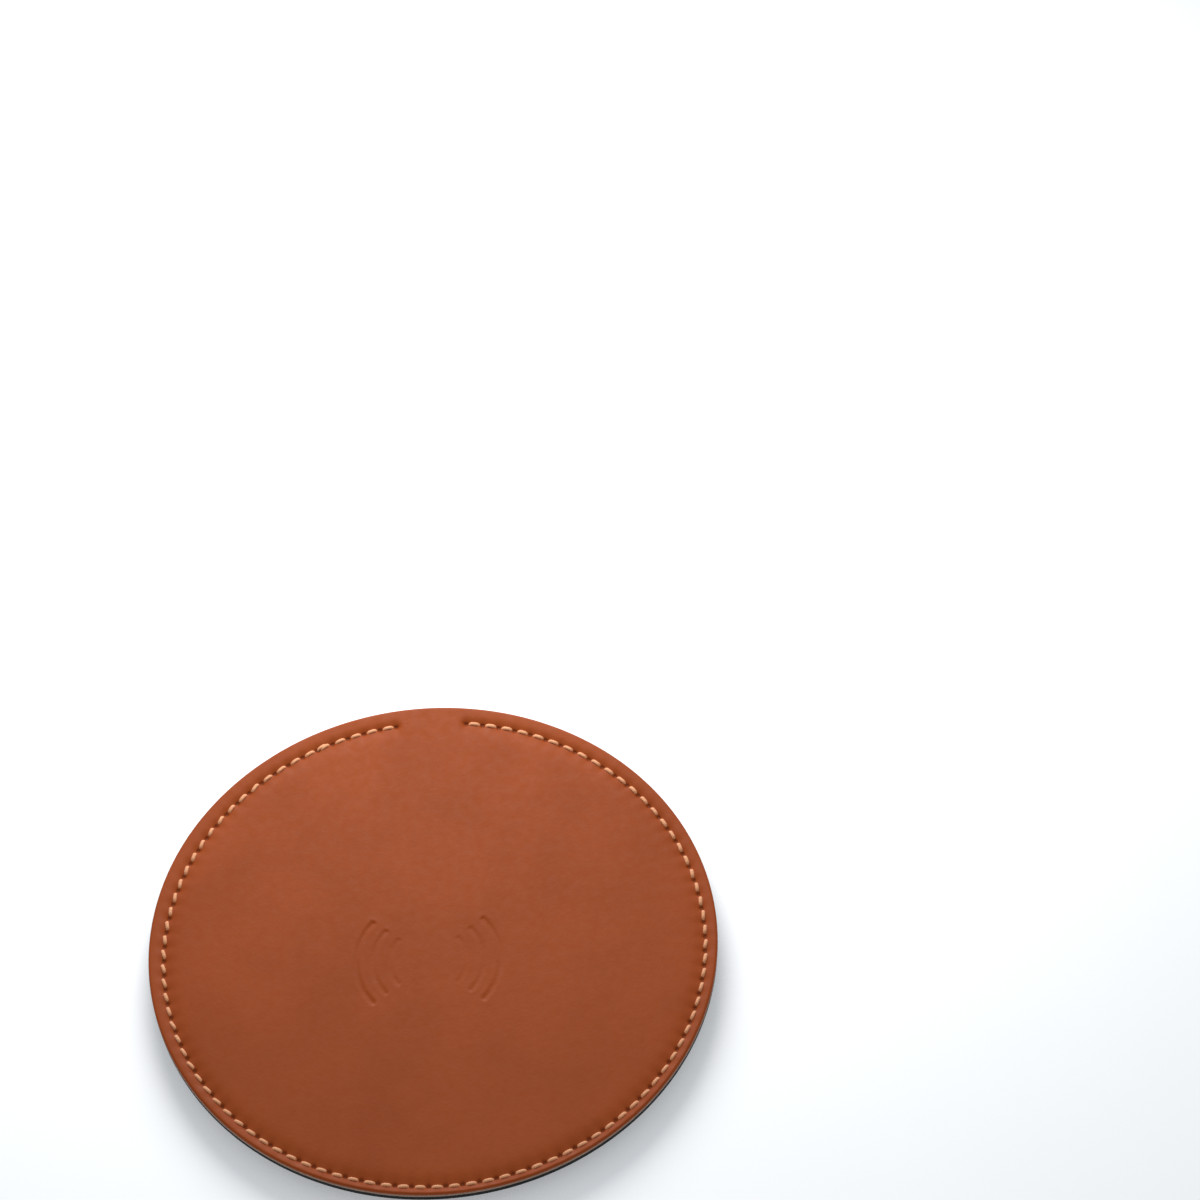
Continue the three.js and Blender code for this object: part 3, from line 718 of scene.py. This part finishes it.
def seam_coordinates(x, y):
    """Where points seen from above lie on the seam.

    Returns the distance outside the seam, stitches from the first hole, the distance from the nearest
    hole, and the distance beyond the end holes.
    """
    dx, dy = x - SEAM_CENTRE[0], y - SEAM_CENTRE[1]
    outside = np.hypot(dx, dy) - SEAM_RADIUS
    turn = (np.degrees(np.arctan2(dy, dx)) - SEAM_START) % 360
    stitches = (turn - FIRST_HOLE) / STITCH_PITCH
    nearest = np.clip(np.round(stitches), 0, STITCH_COUNT)
    from_hole = (stitches - nearest) * STITCH_PITCH * MM_PER_DEGREE
    beyond = np.maximum(FIRST_HOLE - turn, turn - LAST_HOLE) * MM_PER_DEGREE
    return outside, stitches, from_hole, beyond


def seam_depth(x, y, scale=1.0):
    """How far the thread has pulled a sheet in, with the needle holes."""
    outside, stitches, from_hole, beyond = seam_coordinates(x, y)
    sewn = 1 - smooth_step(*VALLEY_FADE, beyond)
    wave = np.cos(2 * np.pi * stitches)
    inner = np.exp(-np.abs(outside / VALLEY_INNER_WIDTH) ** VALLEY_INNER_POWER)
    outer = np.exp(-((outside / VALLEY_OUTER_WIDTH) ** 2))
    swell = 1 - VALLEY_SWELL + VALLEY_SWELL * wave
    valley = VALLEY_DEPTH * swell * np.where(outside < 0, inner, outer)
    pucker = PUCKER_HEIGHT * wave * np.exp(-((outside / PUCKER_REACH) ** 2))
    hole_width = np.where(outside < 0, HOLE_INNER_WIDTH, HOLE_OUTER_WIDTH)
    away = (from_hole / HOLE_HALF_LENGTH) ** 2 + (outside / hole_width) ** 2
    hole = HOLE_DEPTH * np.exp(-(away**HOLE_POWER))
    return scale * (sewn * (valley + pucker) + hole)


def stitch_tube(turn, length, lean, middle_z, dive, scale=1.0, offset=0.0):
    """One stitch of twisted thread, centred at an angle from the middle of the seam's opening."""
    angle = math.radians(turn + SEAM_START)
    outward = np.array([math.cos(angle), math.sin(angle), 0])
    along = np.array([-math.sin(angle), math.cos(angle), 0])
    centre = np.array([*SEAM_CENTRE, 0]) + outward * (SEAM_RADIUS + offset)
    lean = math.radians(lean)
    heading = along * math.cos(lean) - outward * math.sin(lean)
    across = outward * math.cos(lean) + along * math.sin(lean)
    up = np.array([0, 0, 1])
    loops = []
    for step in range(THREAD_STEPS + 1):
        t = 2 * step / THREAD_STEPS - 1
        distance = t * length / 2
        bow = distance**2 / (2 * SEAM_RADIUS)
        middle = centre + heading * distance - outward * bow
        middle = middle + up * (middle_z - dive * abs(t) ** 3)
        thin = scale * (1 - THREAD_END_TAPER * abs(t) ** 4)
        twist = 2 * math.pi * distance * THREAD_PLIES / THREAD_TWIST_LENGTH
        loop = []
        for side in range(THREAD_SIDES):
            phi = 2 * math.pi * side / THREAD_SIDES
            ply = 1 + THREAD_PLY_RELIEF * math.cos(THREAD_PLIES * phi - twist)
            wide = THREAD_HALF_WIDTH * thin * ply * math.cos(phi)
            high = THREAD_HALF_HEIGHT * thin * ply * math.sin(phi)
            loop.append(tuple(middle + across * wide + up * high))
        loops.append(loop)
    return loops_to_tube([list(reversed(loop)) for loop in loops])


def stitch_lean(turn):
    """The stitches lean one way on the left of the pad and the other way on the right."""
    return STITCH_LEAN - STITCH_LEAN_SWING * math.cos(math.radians(turn + SEAM_START))


def make_top_stitches():
    """The needle thread: one stitch after another, and one sewn twice."""
    chance = random.Random(11)
    parts = []
    for stitch in range(STITCH_COUNT):
        turn = END_STITCH_ANGLE + stitch * STITCH_PITCH
        lean = stitch_lean(turn) + chance.gauss(0, STITCH_LEAN_SCATTER)
        length = THREAD_LENGTH * (1 + chance.gauss(0, STITCH_LENGTH_SCATTER))
        lift = chance.uniform(*TOP_THREAD_LIFT)
        size = 1 + chance.gauss(0, STITCH_SIZE_SCATTER)
        parts.append(stitch_tube(turn, length, lean, TOP_THREAD_Z + lift, THREAD_DIVE, size))
    turn = END_STITCH_ANGLE + (DOUBLED_STITCH + DOUBLED_SHIFT) * STITCH_PITCH
    parts.append(stitch_tube(turn, DOUBLED_LENGTH, DOUBLED_LEAN, TOP_THREAD_Z + DOUBLED_LIFT, THREAD_DIVE,
                             DOUBLED_SCALE, DOUBLED_OFFSET))
    return make_piece("seam_stitches_top", *joined(parts), "tan_thread", "tan_thread", ["seam_thread_top"])


def make_bottom_stitches():
    """The bobbin thread, seen from below."""
    chance = random.Random(12)
    parts = []
    for stitch in range(STITCH_COUNT):
        turn = END_STITCH_ANGLE + stitch * STITCH_PITCH
        lean = -stitch_lean(turn) + chance.gauss(0, STITCH_LEAN_SCATTER)
        parts.append(stitch_tube(turn, THREAD_LENGTH, lean, BOTTOM_THREAD_Z, -BOTTOM_THREAD_DIVE,
                                 BOTTOM_THREAD_SCALE))
    return make_piece("seam_stitches_bottom", *joined(parts), "black_thread", "black_thread",
                      ["seam_thread_bottom"])


# ---- Leather top --------------------------------------------------------------------------------

def undulation(x, y):
    """Slow, very shallow waves of leather stretched over foam."""
    chance = random.Random(5)
    total = np.zeros_like(x)
    for _ in range(UNDULATION_WAVES):
        heading = chance.uniform(0, 2 * math.pi)
        length = chance.uniform(*UNDULATION_LENGTHS)
        phase = chance.uniform(0, 2 * math.pi)
        total += np.sin((x * math.cos(heading) + y * math.sin(heading)) * 2 * math.pi / length + phase)
    return UNDULATION * total / math.sqrt(UNDULATION_WAVES)


def symbol_depth(x, y):
    """Arcs pressed into the leather on both sides of the symbol's centre, deepest towards their ends."""
    dx, dy = x - SYMBOL_CENTRE[0], y - SYMBOL_CENTRE[1]
    total = np.zeros_like(x)
    limit = math.radians(SYMBOL_HALF_ANGLE)
    for facing in (1, -1):
        angle = np.arctan2(dy, facing * dx)
        held = np.clip(angle, -limit, limit)
        for radius, strength in SYMBOL_ARCS:
            away = np.hypot(facing * dx - radius * np.cos(held), dy - radius * np.sin(held))
            along = np.abs(held) / limit
            press = strength * (SYMBOL_MIDDLE_PRESS + (1 - SYMBOL_MIDDLE_PRESS) * along**2)
            press = press * (SYMBOL_RIGHT_PRESS if facing > 0 else 1)
            groove = 1 - smooth_step(SYMBOL_FLOOR_HALF_WIDTH, SYMBOL_HALF_WIDTH, away)
            from_lip = away - SYMBOL_HALF_WIDTH - SYMBOL_LIP_OFFSET
            lip = SYMBOL_LIP * np.exp(-((from_lip / SYMBOL_LIP_WIDTH) ** 2))
            total += SYMBOL_DEPTH * press * (groove - lip)
    return total


def leather_height(x, y):
    """Z of the leather's face at points seen from above."""
    outside_seam = seam_coordinates(x, y)[0]
    drop = RIM_DROP * smooth_step(*RIM_DROP_SPAN, outside_seam)
    z = LEATHER_FLAT - drop + undulation(x, y) - seam_depth(x, y) - symbol_depth(x, y)
    return np.clip(z, LOWEST_LEATHER, HIGHEST_LEATHER)


def leather_rings():
    """Rings of the leather, from the middle of its top over the edge to the middle of its underside."""
    angles = seam_angles(16, 64)
    centre = np.array(SEAM_CENTRE)
    pad_middle = np.zeros(2)

    def ring(radius, middle=centre, every=1):
        """Points of a circle, at one in every few of the seam's angles."""
        chosen = angles[::every]
        return middle[0] + radius * np.cos(chosen), middle[1] + radius * np.sin(chosen)

    def on_top(x, y, drop=0.0):
        return np.stack([x, y, leather_height(x, y) - drop], axis=1)

    def flat(radius, z, every=1):
        x, y = ring(radius, pad_middle, every)
        return np.stack([x, y, np.full_like(x, z)], axis=1)

    rings = [on_top(centre[:1], centre[1:])]
    symbol_step, symbol_reach, coarse_reach = 0.4, 19.2, 3
    for radius in np.arange(symbol_step, symbol_reach, symbol_step):
        rings.append(on_top(*ring(radius, every=8 if radius < coarse_reach else 4)))
    for radius in np.linspace(20, 52, 22):
        rings.append(on_top(*ring(radius, every=4)))
    for radius in (53, 53.8):
        rings.append(on_top(*ring(radius, every=2)))
    valley_inside = (-2.7, -2.2, -1.8, -1.45, -1.15, -0.9, -0.7, -0.52, -0.38, -0.26, -0.14)
    valley_outside = (0.0, 0.12, 0.24, 0.36, 0.5, 0.66, 0.84)
    for outside in valley_inside + valley_outside:
        rings.append(on_top(*ring(SEAM_RADIUS + outside)))
    seam_end = SEAM_RADIUS + valley_outside[-1]
    rim_start = PAD_RADIUS - EDGE_ROUNDING
    rim_steps = 5
    for t in np.linspace(0, 1, rim_steps + 1)[1:]:
        rings.append(on_top(*ring(seam_end + (rim_start - seam_end) * t, centre * (1 - t))))
    for phi in np.radians(np.linspace(0, 90, rim_steps + 1)[1:]):
        x, y = ring(rim_start + EDGE_ROUNDING * math.sin(phi), pad_middle)
        rings.append(on_top(x, y, EDGE_ROUNDING * (1 - math.cos(phi))))
    underside = LEATHER_LOW[2] + LEATHER_GAP
    over_cut_edge = CUT_EDGE_TOP + LEATHER_GAP
    inside_cut_edge = CUT_EDGE_INNER - LEATHER_INSET
    rings.append(flat(PAD_RADIUS - LEATHER_INSET, over_cut_edge))
    rings.append(flat(inside_cut_edge, over_cut_edge, 2))
    rings.append(flat(inside_cut_edge, underside, 2))
    rings.append(flat(50, underside, 4))
    rings.append(flat(25, underside, 8))
    rings.append(np.array([[0, 0, underside]]))
    return rings


def make_leather_cover():
    return make_piece("leather_cover", *rings_to_faces(leather_rings()), "tan_leather", "tan_leather",
                      ["leather_top"])


def make_cut_edge():
    """The leather's raw edge, which shows as a thin line under its rounded rim."""
    chance = random.Random(3)
    count, bevel, fraying = 720, 0.06, (-0.025, 0.02)
    low, high = LEATHER_LOW[2], CUT_EDGE_TOP
    waver = [chance.uniform(*fraying) for _ in range(count)]
    profile = ((CUT_EDGE_INNER, low), (CUT_EDGE_OUTER - bevel, low), (CUT_EDGE_OUTER, low + bevel),
               (CUT_EDGE_OUTER, high - bevel), (CUT_EDGE_OUTER - bevel, high), (CUT_EDGE_INNER, high))
    loops = []
    for radius, z in profile:
        frayed = radius > CUT_EDGE_INNER
        loop = []
        for i in range(count):
            angle = 2 * math.pi * i / count
            reach = radius + (waver[i] + waver[i - 1]) / 2 if frayed else radius
            loop.append((reach * math.cos(angle), reach * math.sin(angle), z))
        loops.append(loop)
    return make_piece("leather_cut_edge", *loops_to_tube(loops, capped=False), "cut_edge", "tan_leather",
                      ["leather_top"])


# ---- Base, foam and foot ------------------------------------------------------------------------

def cover_rings():
    """Rings of the base cover, from the middle of its inside over the flange to the middle of its bottom."""
    angles = seam_angles(8, 32)
    seam_middle = np.array(SEAM_CENTRE)
    pad_middle = np.zeros(2)

    def ring(radius, z, every=1, middle=pad_middle):
        chosen = angles[::every]
        x, y = middle[0] + radius * np.cos(chosen), middle[1] + radius * np.sin(chosen)
        return np.stack([x, y, np.full_like(x, z)], axis=1)

    def sewn(radius, middle):
        points = ring(radius, FLANGE_BOTTOM, 1, middle)
        points[:, 2] += seam_depth(points[:, 0], points[:, 1], SHEET_SEAM_SCALE)
        return points

    inside, bottom = COVER_LOW[2] + SHEET_THICKNESS, COVER_LOW[2]
    bend, edge = SHEET_BEND, FLANGE_EDGE_ROUNDING
    slope = math.atan2(FLANGE_BOTTOM - bottom, FLANGE_INNER - FLAT_RADIUS)
    reach = bend * math.tan(slope / 2)
    rings = [np.array([[0, 0, inside]]), ring(20, inside, 4), ring(FLAT_RADIUS - 1.2, inside, 2)]
    rings += [ring(FLAT_RADIUS - 0.75, inside + 0.08), ring(FLAT_RADIUS - 0.45, inside + 0.3)]
    rings += [ring(FLANGE_INNER - 0.75, FLANGE_TOP - 0.35), ring(FLANGE_INNER - 0.5, FLANGE_TOP - 0.08)]
    rings += [ring(FLANGE_INNER - 0.1, FLANGE_TOP), ring(FLANGE_RADIUS - edge, FLANGE_TOP)]
    for radius, z in corner_arc((FLANGE_RADIUS - edge, FLANGE_TOP - edge), edge, 90, 0, 4)[1:]:
        rings.append(ring(radius, z))
    for radius, z in corner_arc((FLANGE_RADIUS - edge, FLANGE_BOTTOM + edge), edge, 0, -90, 4)[:-1]:
        rings.append(ring(radius, z))
    valley_half = (0.8, 0.62, 0.48, 0.36, 0.24, 0.12)
    flat_end = FLANGE_RADIUS - edge
    for t in (0, 0.35, 0.7):
        radius = flat_end + (SEAM_RADIUS + valley_half[0] - flat_end) * t
        rings.append(sewn(radius, seam_middle * t))
    for outside in (*valley_half, 0, *(-distance for distance in reversed(valley_half))):
        rings.append(sewn(SEAM_RADIUS + outside, seam_middle))
    rings.append(ring(FLANGE_INNER + bend * 0.5, FLANGE_BOTTOM))
    bend_radius, bend_z = FLANGE_INNER + reach * 0.6, FLANGE_BOTTOM - bend
    for turn in (slope * 0.3, slope * 0.65, slope):
        rings.append(ring(bend_radius - bend * math.sin(turn), bend_z + bend * math.cos(turn)))
    for turn in (slope, slope * 0.6, slope * 0.3, 0):
        rings.append(ring(FLAT_RADIUS - reach + bend * math.sin(turn), bottom + bend * (1 - math.cos(turn))))
    seat, lip, draft = bottom + FOOT_SEAT_DEPTH, bottom + 0.05, 0.04
    outer, inner = FOOT_HIGH[0] + FOOT_SEAT_MARGIN, FOOT_INNER_RADIUS - FOOT_SEAT_MARGIN
    rings += [ring(outer + 0.1, bottom), ring(outer, lip), ring(outer - draft, seat)]
    rings += [ring(inner + draft, seat), ring(inner, lip), ring(inner - 0.1, bottom)]
    rings += [ring(30, bottom, 2), ring(12, bottom, 4), np.array([[0, 0, bottom]])]
    return rings


def make_base_cover():
    cover = make_piece("base_sheet", *rings_to_faces(cover_rings()), "black_sheet", "black_sheet",
                       ["base_cover"])
    cut_collar_opening(cover)
    sharpen(cover, 50)
    return cover


def make_foam_pad():
    """Foam between the housing's lid and the leather, soft at its edge."""
    radius, low, high = FOAM_HIGH[0], FOAM_LOW[2], FOAM_HIGH[2]
    middle, half, count = (low + high) / 2, (high - low) / 2, 320
    flat_radii = (25, radius - 2)
    profile = [(r, high) for r in flat_radii]
    profile += corner_arc((radius - half, middle), half, 90, -90, 8)
    profile += [(r, low) for r in reversed(flat_radii)]
    rings = [[(0, 0, high)], *(circle(r, z, count) for r, z in profile), [(0, 0, low)]]
    pad = make_piece("foam_pad", *rings_to_faces(rings), "foam", "foam", ["foam_disc"])
    cut_collar_opening(pad)
    sharpen(pad, 50)
    return pad


def make_foot_ring():
    """Silicone ring with rounded edges and fine ribs on its tread."""
    inner, outer = FOOT_INNER_RADIUS, FOOT_HIGH[0]
    low, high = FOOT_LOW[2], FOOT_HIGH[2]
    corner, ribs, rib_depth, steps_per_rib = 0.25, 7, 0.12, 8
    profile = corner_arc((outer - corner, high - corner), corner, 0, 90, 4)
    profile += corner_arc((inner + corner, high - corner), corner, 90, 180, 4)
    profile += corner_arc((inner + corner, low + corner), corner, 180, 270, 4)
    start, end = inner + corner, outer - corner
    for step in range(1, ribs * steps_per_rib):
        t = step / (ribs * steps_per_rib)
        profile.append((start + (end - start) * t, low + rib_depth * math.sin(math.pi * ribs * t) ** 2))
    profile += corner_arc((outer - corner, low + corner), corner, 270, 360, 4)
    make_piece("foot_ring_ribbed", *turned(profile[::-1], 360), "silicone", "silicone", ["foot_ring"])


# ---- Port ---------------------------------------------------------------------------------------

def sleeve(stations):
    """A closed sleeve along Y. Each station is width, height, corner, middle z and y."""
    loops = [standing(rounded_outline(w, h, c), z, y) for w, h, c, z, y in stations]
    return loops_to_tube(loops, capped=False)


def bar(stations):
    """A capped bar along Y. Each station is width, height, corner, middle z and y."""
    return loops_to_tube([standing(rounded_outline(w, h, c, 5), z, y) for w, h, c, z, y in stations])


def make_port_collar():
    """Moulded sleeve around the port, with a rounded mouth."""
    width, height = COLLAR_HIGH[0] - COLLAR_LOW[0], COLLAR_HIGH[2] - COLLAR_LOW[2]
    middle = (COLLAR_HIGH[2] + COLLAR_LOW[2]) / 2
    back, front = COLLAR_LOW[1], COLLAR_HIGH[1]
    corner, bevel, chamfer = 0.8, 0.22, 0.15
    slot_corner = SLOT_HEIGHT / 2 - PILL_GAP
    stations = [(width - 2 * chamfer, height - 2 * chamfer, corner - chamfer, middle, back),
                (width, height, corner, middle, back + chamfer)]
    for turn in range(0, 91, 15):
        inset = bevel * (1 - math.cos(math.radians(turn)))
        y = front - bevel + bevel * math.sin(math.radians(turn))
        stations.append((width - 2 * inset, height - 2 * inset, corner - inset, middle, y))
    for turn in range(0, 91, 15):
        flare = bevel * (1 - math.sin(math.radians(turn)))
        y = front - bevel * (1 - math.cos(math.radians(turn)))
        stations.append((SLOT_WIDTH + 2 * flare, SLOT_HEIGHT + 2 * flare, slot_corner + flare, PORT_Z, y))
    stations.append((SLOT_WIDTH, SLOT_HEIGHT, slot_corner, PORT_Z, back))
    sharpen(make_piece("port_collar_moulded", *sleeve(stations), "abs_black", "abs_black", ["port_collar"]))


def make_usb_shell():
    """Drawn steel shell with a rolled lip."""
    width, height = SHELL_HIGH[0] - SHELL_LOW[0], SHELL_HIGH[2] - SHELL_LOW[2]
    back, front = SHELL_LOW[1], SHELL_HIGH[1]
    corner = height / 2 - PILL_GAP
    lip = SHELL_WALL / 2
    stations = [(width, height, corner, PORT_Z, back)]
    for turn in range(0, 181, 20):
        inset = lip * (1 - math.cos(math.radians(turn)))
        y = front - lip + lip * math.sin(math.radians(turn))
        stations.append((width - 2 * inset, height - 2 * inset, corner - inset, PORT_Z, y))
    wall = 2 * SHELL_WALL
    stations.append((width - wall, height - wall, corner - SHELL_WALL, PORT_Z, back))
    sharpen(make_piece("usb_c_shell_drawn", *sleeve(stations), "plug_steel", "plug_steel", ["usb_c_shell"]))


def make_usb_tongue():
    """Contact tongue with a stepped, tapered tip, on the block that closes the back of the shell."""
    back, tip = SHELL_LOW[1], TONGUE_HIGH[1]
    block_front = back + 1.9
    block_width = SHELL_HIGH[0] - SHELL_LOW[0] - 2 * SHELL_WALL - 0.1
    block_height = SHELL_HIGH[2] - SHELL_LOW[2] - 2 * SHELL_WALL - 0.1
    block_corner = block_height / 2 - PILL_GAP
    block = bar([(block_width, block_height, block_corner, PORT_Z, back),
                 (block_width, block_height, block_corner, PORT_Z, block_front - 0.1),
                 (block_width - 0.2, block_height - 0.2, block_corner - 0.1, PORT_Z, block_front)])
    step_height = TONGUE_THICKNESS + 0.5
    root = bar([(TONGUE_WIDTH, step_height, 0.15, PORT_Z, block_front - 0.3),
                (TONGUE_WIDTH, step_height, 0.15, PORT_Z, block_front + 0.8),
                (TONGUE_WIDTH - 0.1, step_height - 0.1, 0.1, PORT_Z, block_front + 0.85)])
    plate = bar([(TONGUE_WIDTH, TONGUE_THICKNESS, 0.12, PORT_Z, block_front - 0.3),
                 (TONGUE_WIDTH, TONGUE_THICKNESS, 0.12, PORT_Z, tip - 0.35),
                 (TONGUE_WIDTH - 0.15, TONGUE_THICKNESS - 0.2, 0.12, PORT_Z, tip - 0.08),
                 (TONGUE_WIDTH - 0.3, TONGUE_THICKNESS - 0.36, 0.1, PORT_Z, tip)])
    sharpen(make_piece("usb_c_tongue_moulded", *joined([block, root, plate]), "contact_housing", "abs_black",
                       ["usb_c_tongue"]))


def make_usb_contacts():
    """Gold contact strips on both faces of the tongue, with their solder tails behind the block."""
    contact_width, relief = 0.3, 0.03
    long_contacts, long_end, short_end = (0, 3, 8, 11), 0.35, 0.75  # ground and power reach furthest
    back, tip = SHELL_LOW[1], TONGUE_HIGH[1]
    tail_width, tail_height, tail_corner, tail_z = 0.24, 0.22, 0.03, TONGUE_LOW[2] + 0.125
    parts = []
    for i in range(CONTACT_COUNT):
        end = tip - (long_end if i in long_contacts else short_end)
        bars = []
        for face in (1, -1):
            middle = PORT_Z + face * TONGUE_THICKNESS / 2
            bars.append(bar([(contact_width, 2 * relief, 0.02, middle, back + 2.2),
                             (contact_width, 2 * relief, 0.02, middle, end - 0.08),
                             (contact_width * 0.7, relief, 0.01, middle, end)]))
        bars.append(bar([(tail_width, tail_height, tail_corner, tail_z, y)
                         for y in (TONGUE_LOW[1], back + 0.2)]))
        x = (i - (CONTACT_COUNT - 1) / 2) * CONTACT_PITCH
        parts += [([(px + x, py, pz) for px, py, pz in points], faces) for points, faces in bars]
    sharpen(make_piece("usb_c_contacts", *joined(parts), "gold", "plug_steel", ["usb_c_tongue"]))


# ---- Coil ---------------------------------------------------------------------------------------

def make_coil():
    """Flat spiral of litz wire."""
    steps_per_turn, sides = 72, 10
    middle_z = (COIL_LOW[2] + COIL_HIGH[2]) / 2
    start = COIL_INNER_RADIUS + COIL_WIRE_RADIUS + COIL_CLEARANCE
    end = COIL_HIGH[0] - COIL_WIRE_RADIUS - COIL_CLEARANCE
    steps = COIL_TURNS * steps_per_turn
    loops = []
    for step in range(steps + 1):
        angle = 2 * math.pi * step / steps_per_turn + math.radians(PORT_ANGLE)
        radius = start + (end - start) * step / steps
        loop = []
        for side in range(sides):
            phi = 2 * math.pi * side / sides
            reach = radius + COIL_WIRE_RADIUS * math.cos(phi)
            z = middle_z + COIL_WIRE_RADIUS * math.sin(phi)
            loop.append((reach * math.cos(angle), reach * math.sin(angle), z))
        loops.append(loop)
    make_piece("charging_coil_wound", *loops_to_tube(loops), "copper", "copper", ["charging_coil"])


# ---- Floor and finishes of the CAD nodes that stay ----------------------------------------------

def make_floor():
    half = 4.0  # metres
    corners = [(-half, -half, 0), (half, -half, 0), (half, half, 0), (-half, half, 0)]
    mesh = bpy.data.meshes.new("floor")
    mesh.from_pydata(corners, [], [(0, 1, 2, 3)])
    mesh.materials.append(floor_material())
    floor = bpy.data.objects.new("floor", mesh)
    bpy.context.scene.collection.objects.link(floor)


def finish_of(node):
    """Material of a CAD node that stays, from the slot that the record gives it."""
    return next(part["material_slot"] for part in frame["record"]["subparts"] if part["node"] == node)


def dress_remaining_nodes():
    """Gives every CAD node that no piece stands for its material."""
    for name, piece in frame["nodes"].items():
        if piece.hide_render:
            continue
        piece.data.materials.clear()
        piece.data.materials.append(MATERIALS[finish_of(name)])


# ---- Assembly -----------------------------------------------------------------------------------

leather = make_leather_cover()
cut_edge = make_cut_edge()
top_stitches = make_top_stitches()
bottom_stitches = make_bottom_stitches()
base_sheet = make_base_cover()
foam_pad = make_foam_pad()
make_foot_ring()
make_port_collar()
make_usb_shell()
make_usb_tongue()
make_usb_contacts()
make_coil()
dress_remaining_nodes()
make_floor()
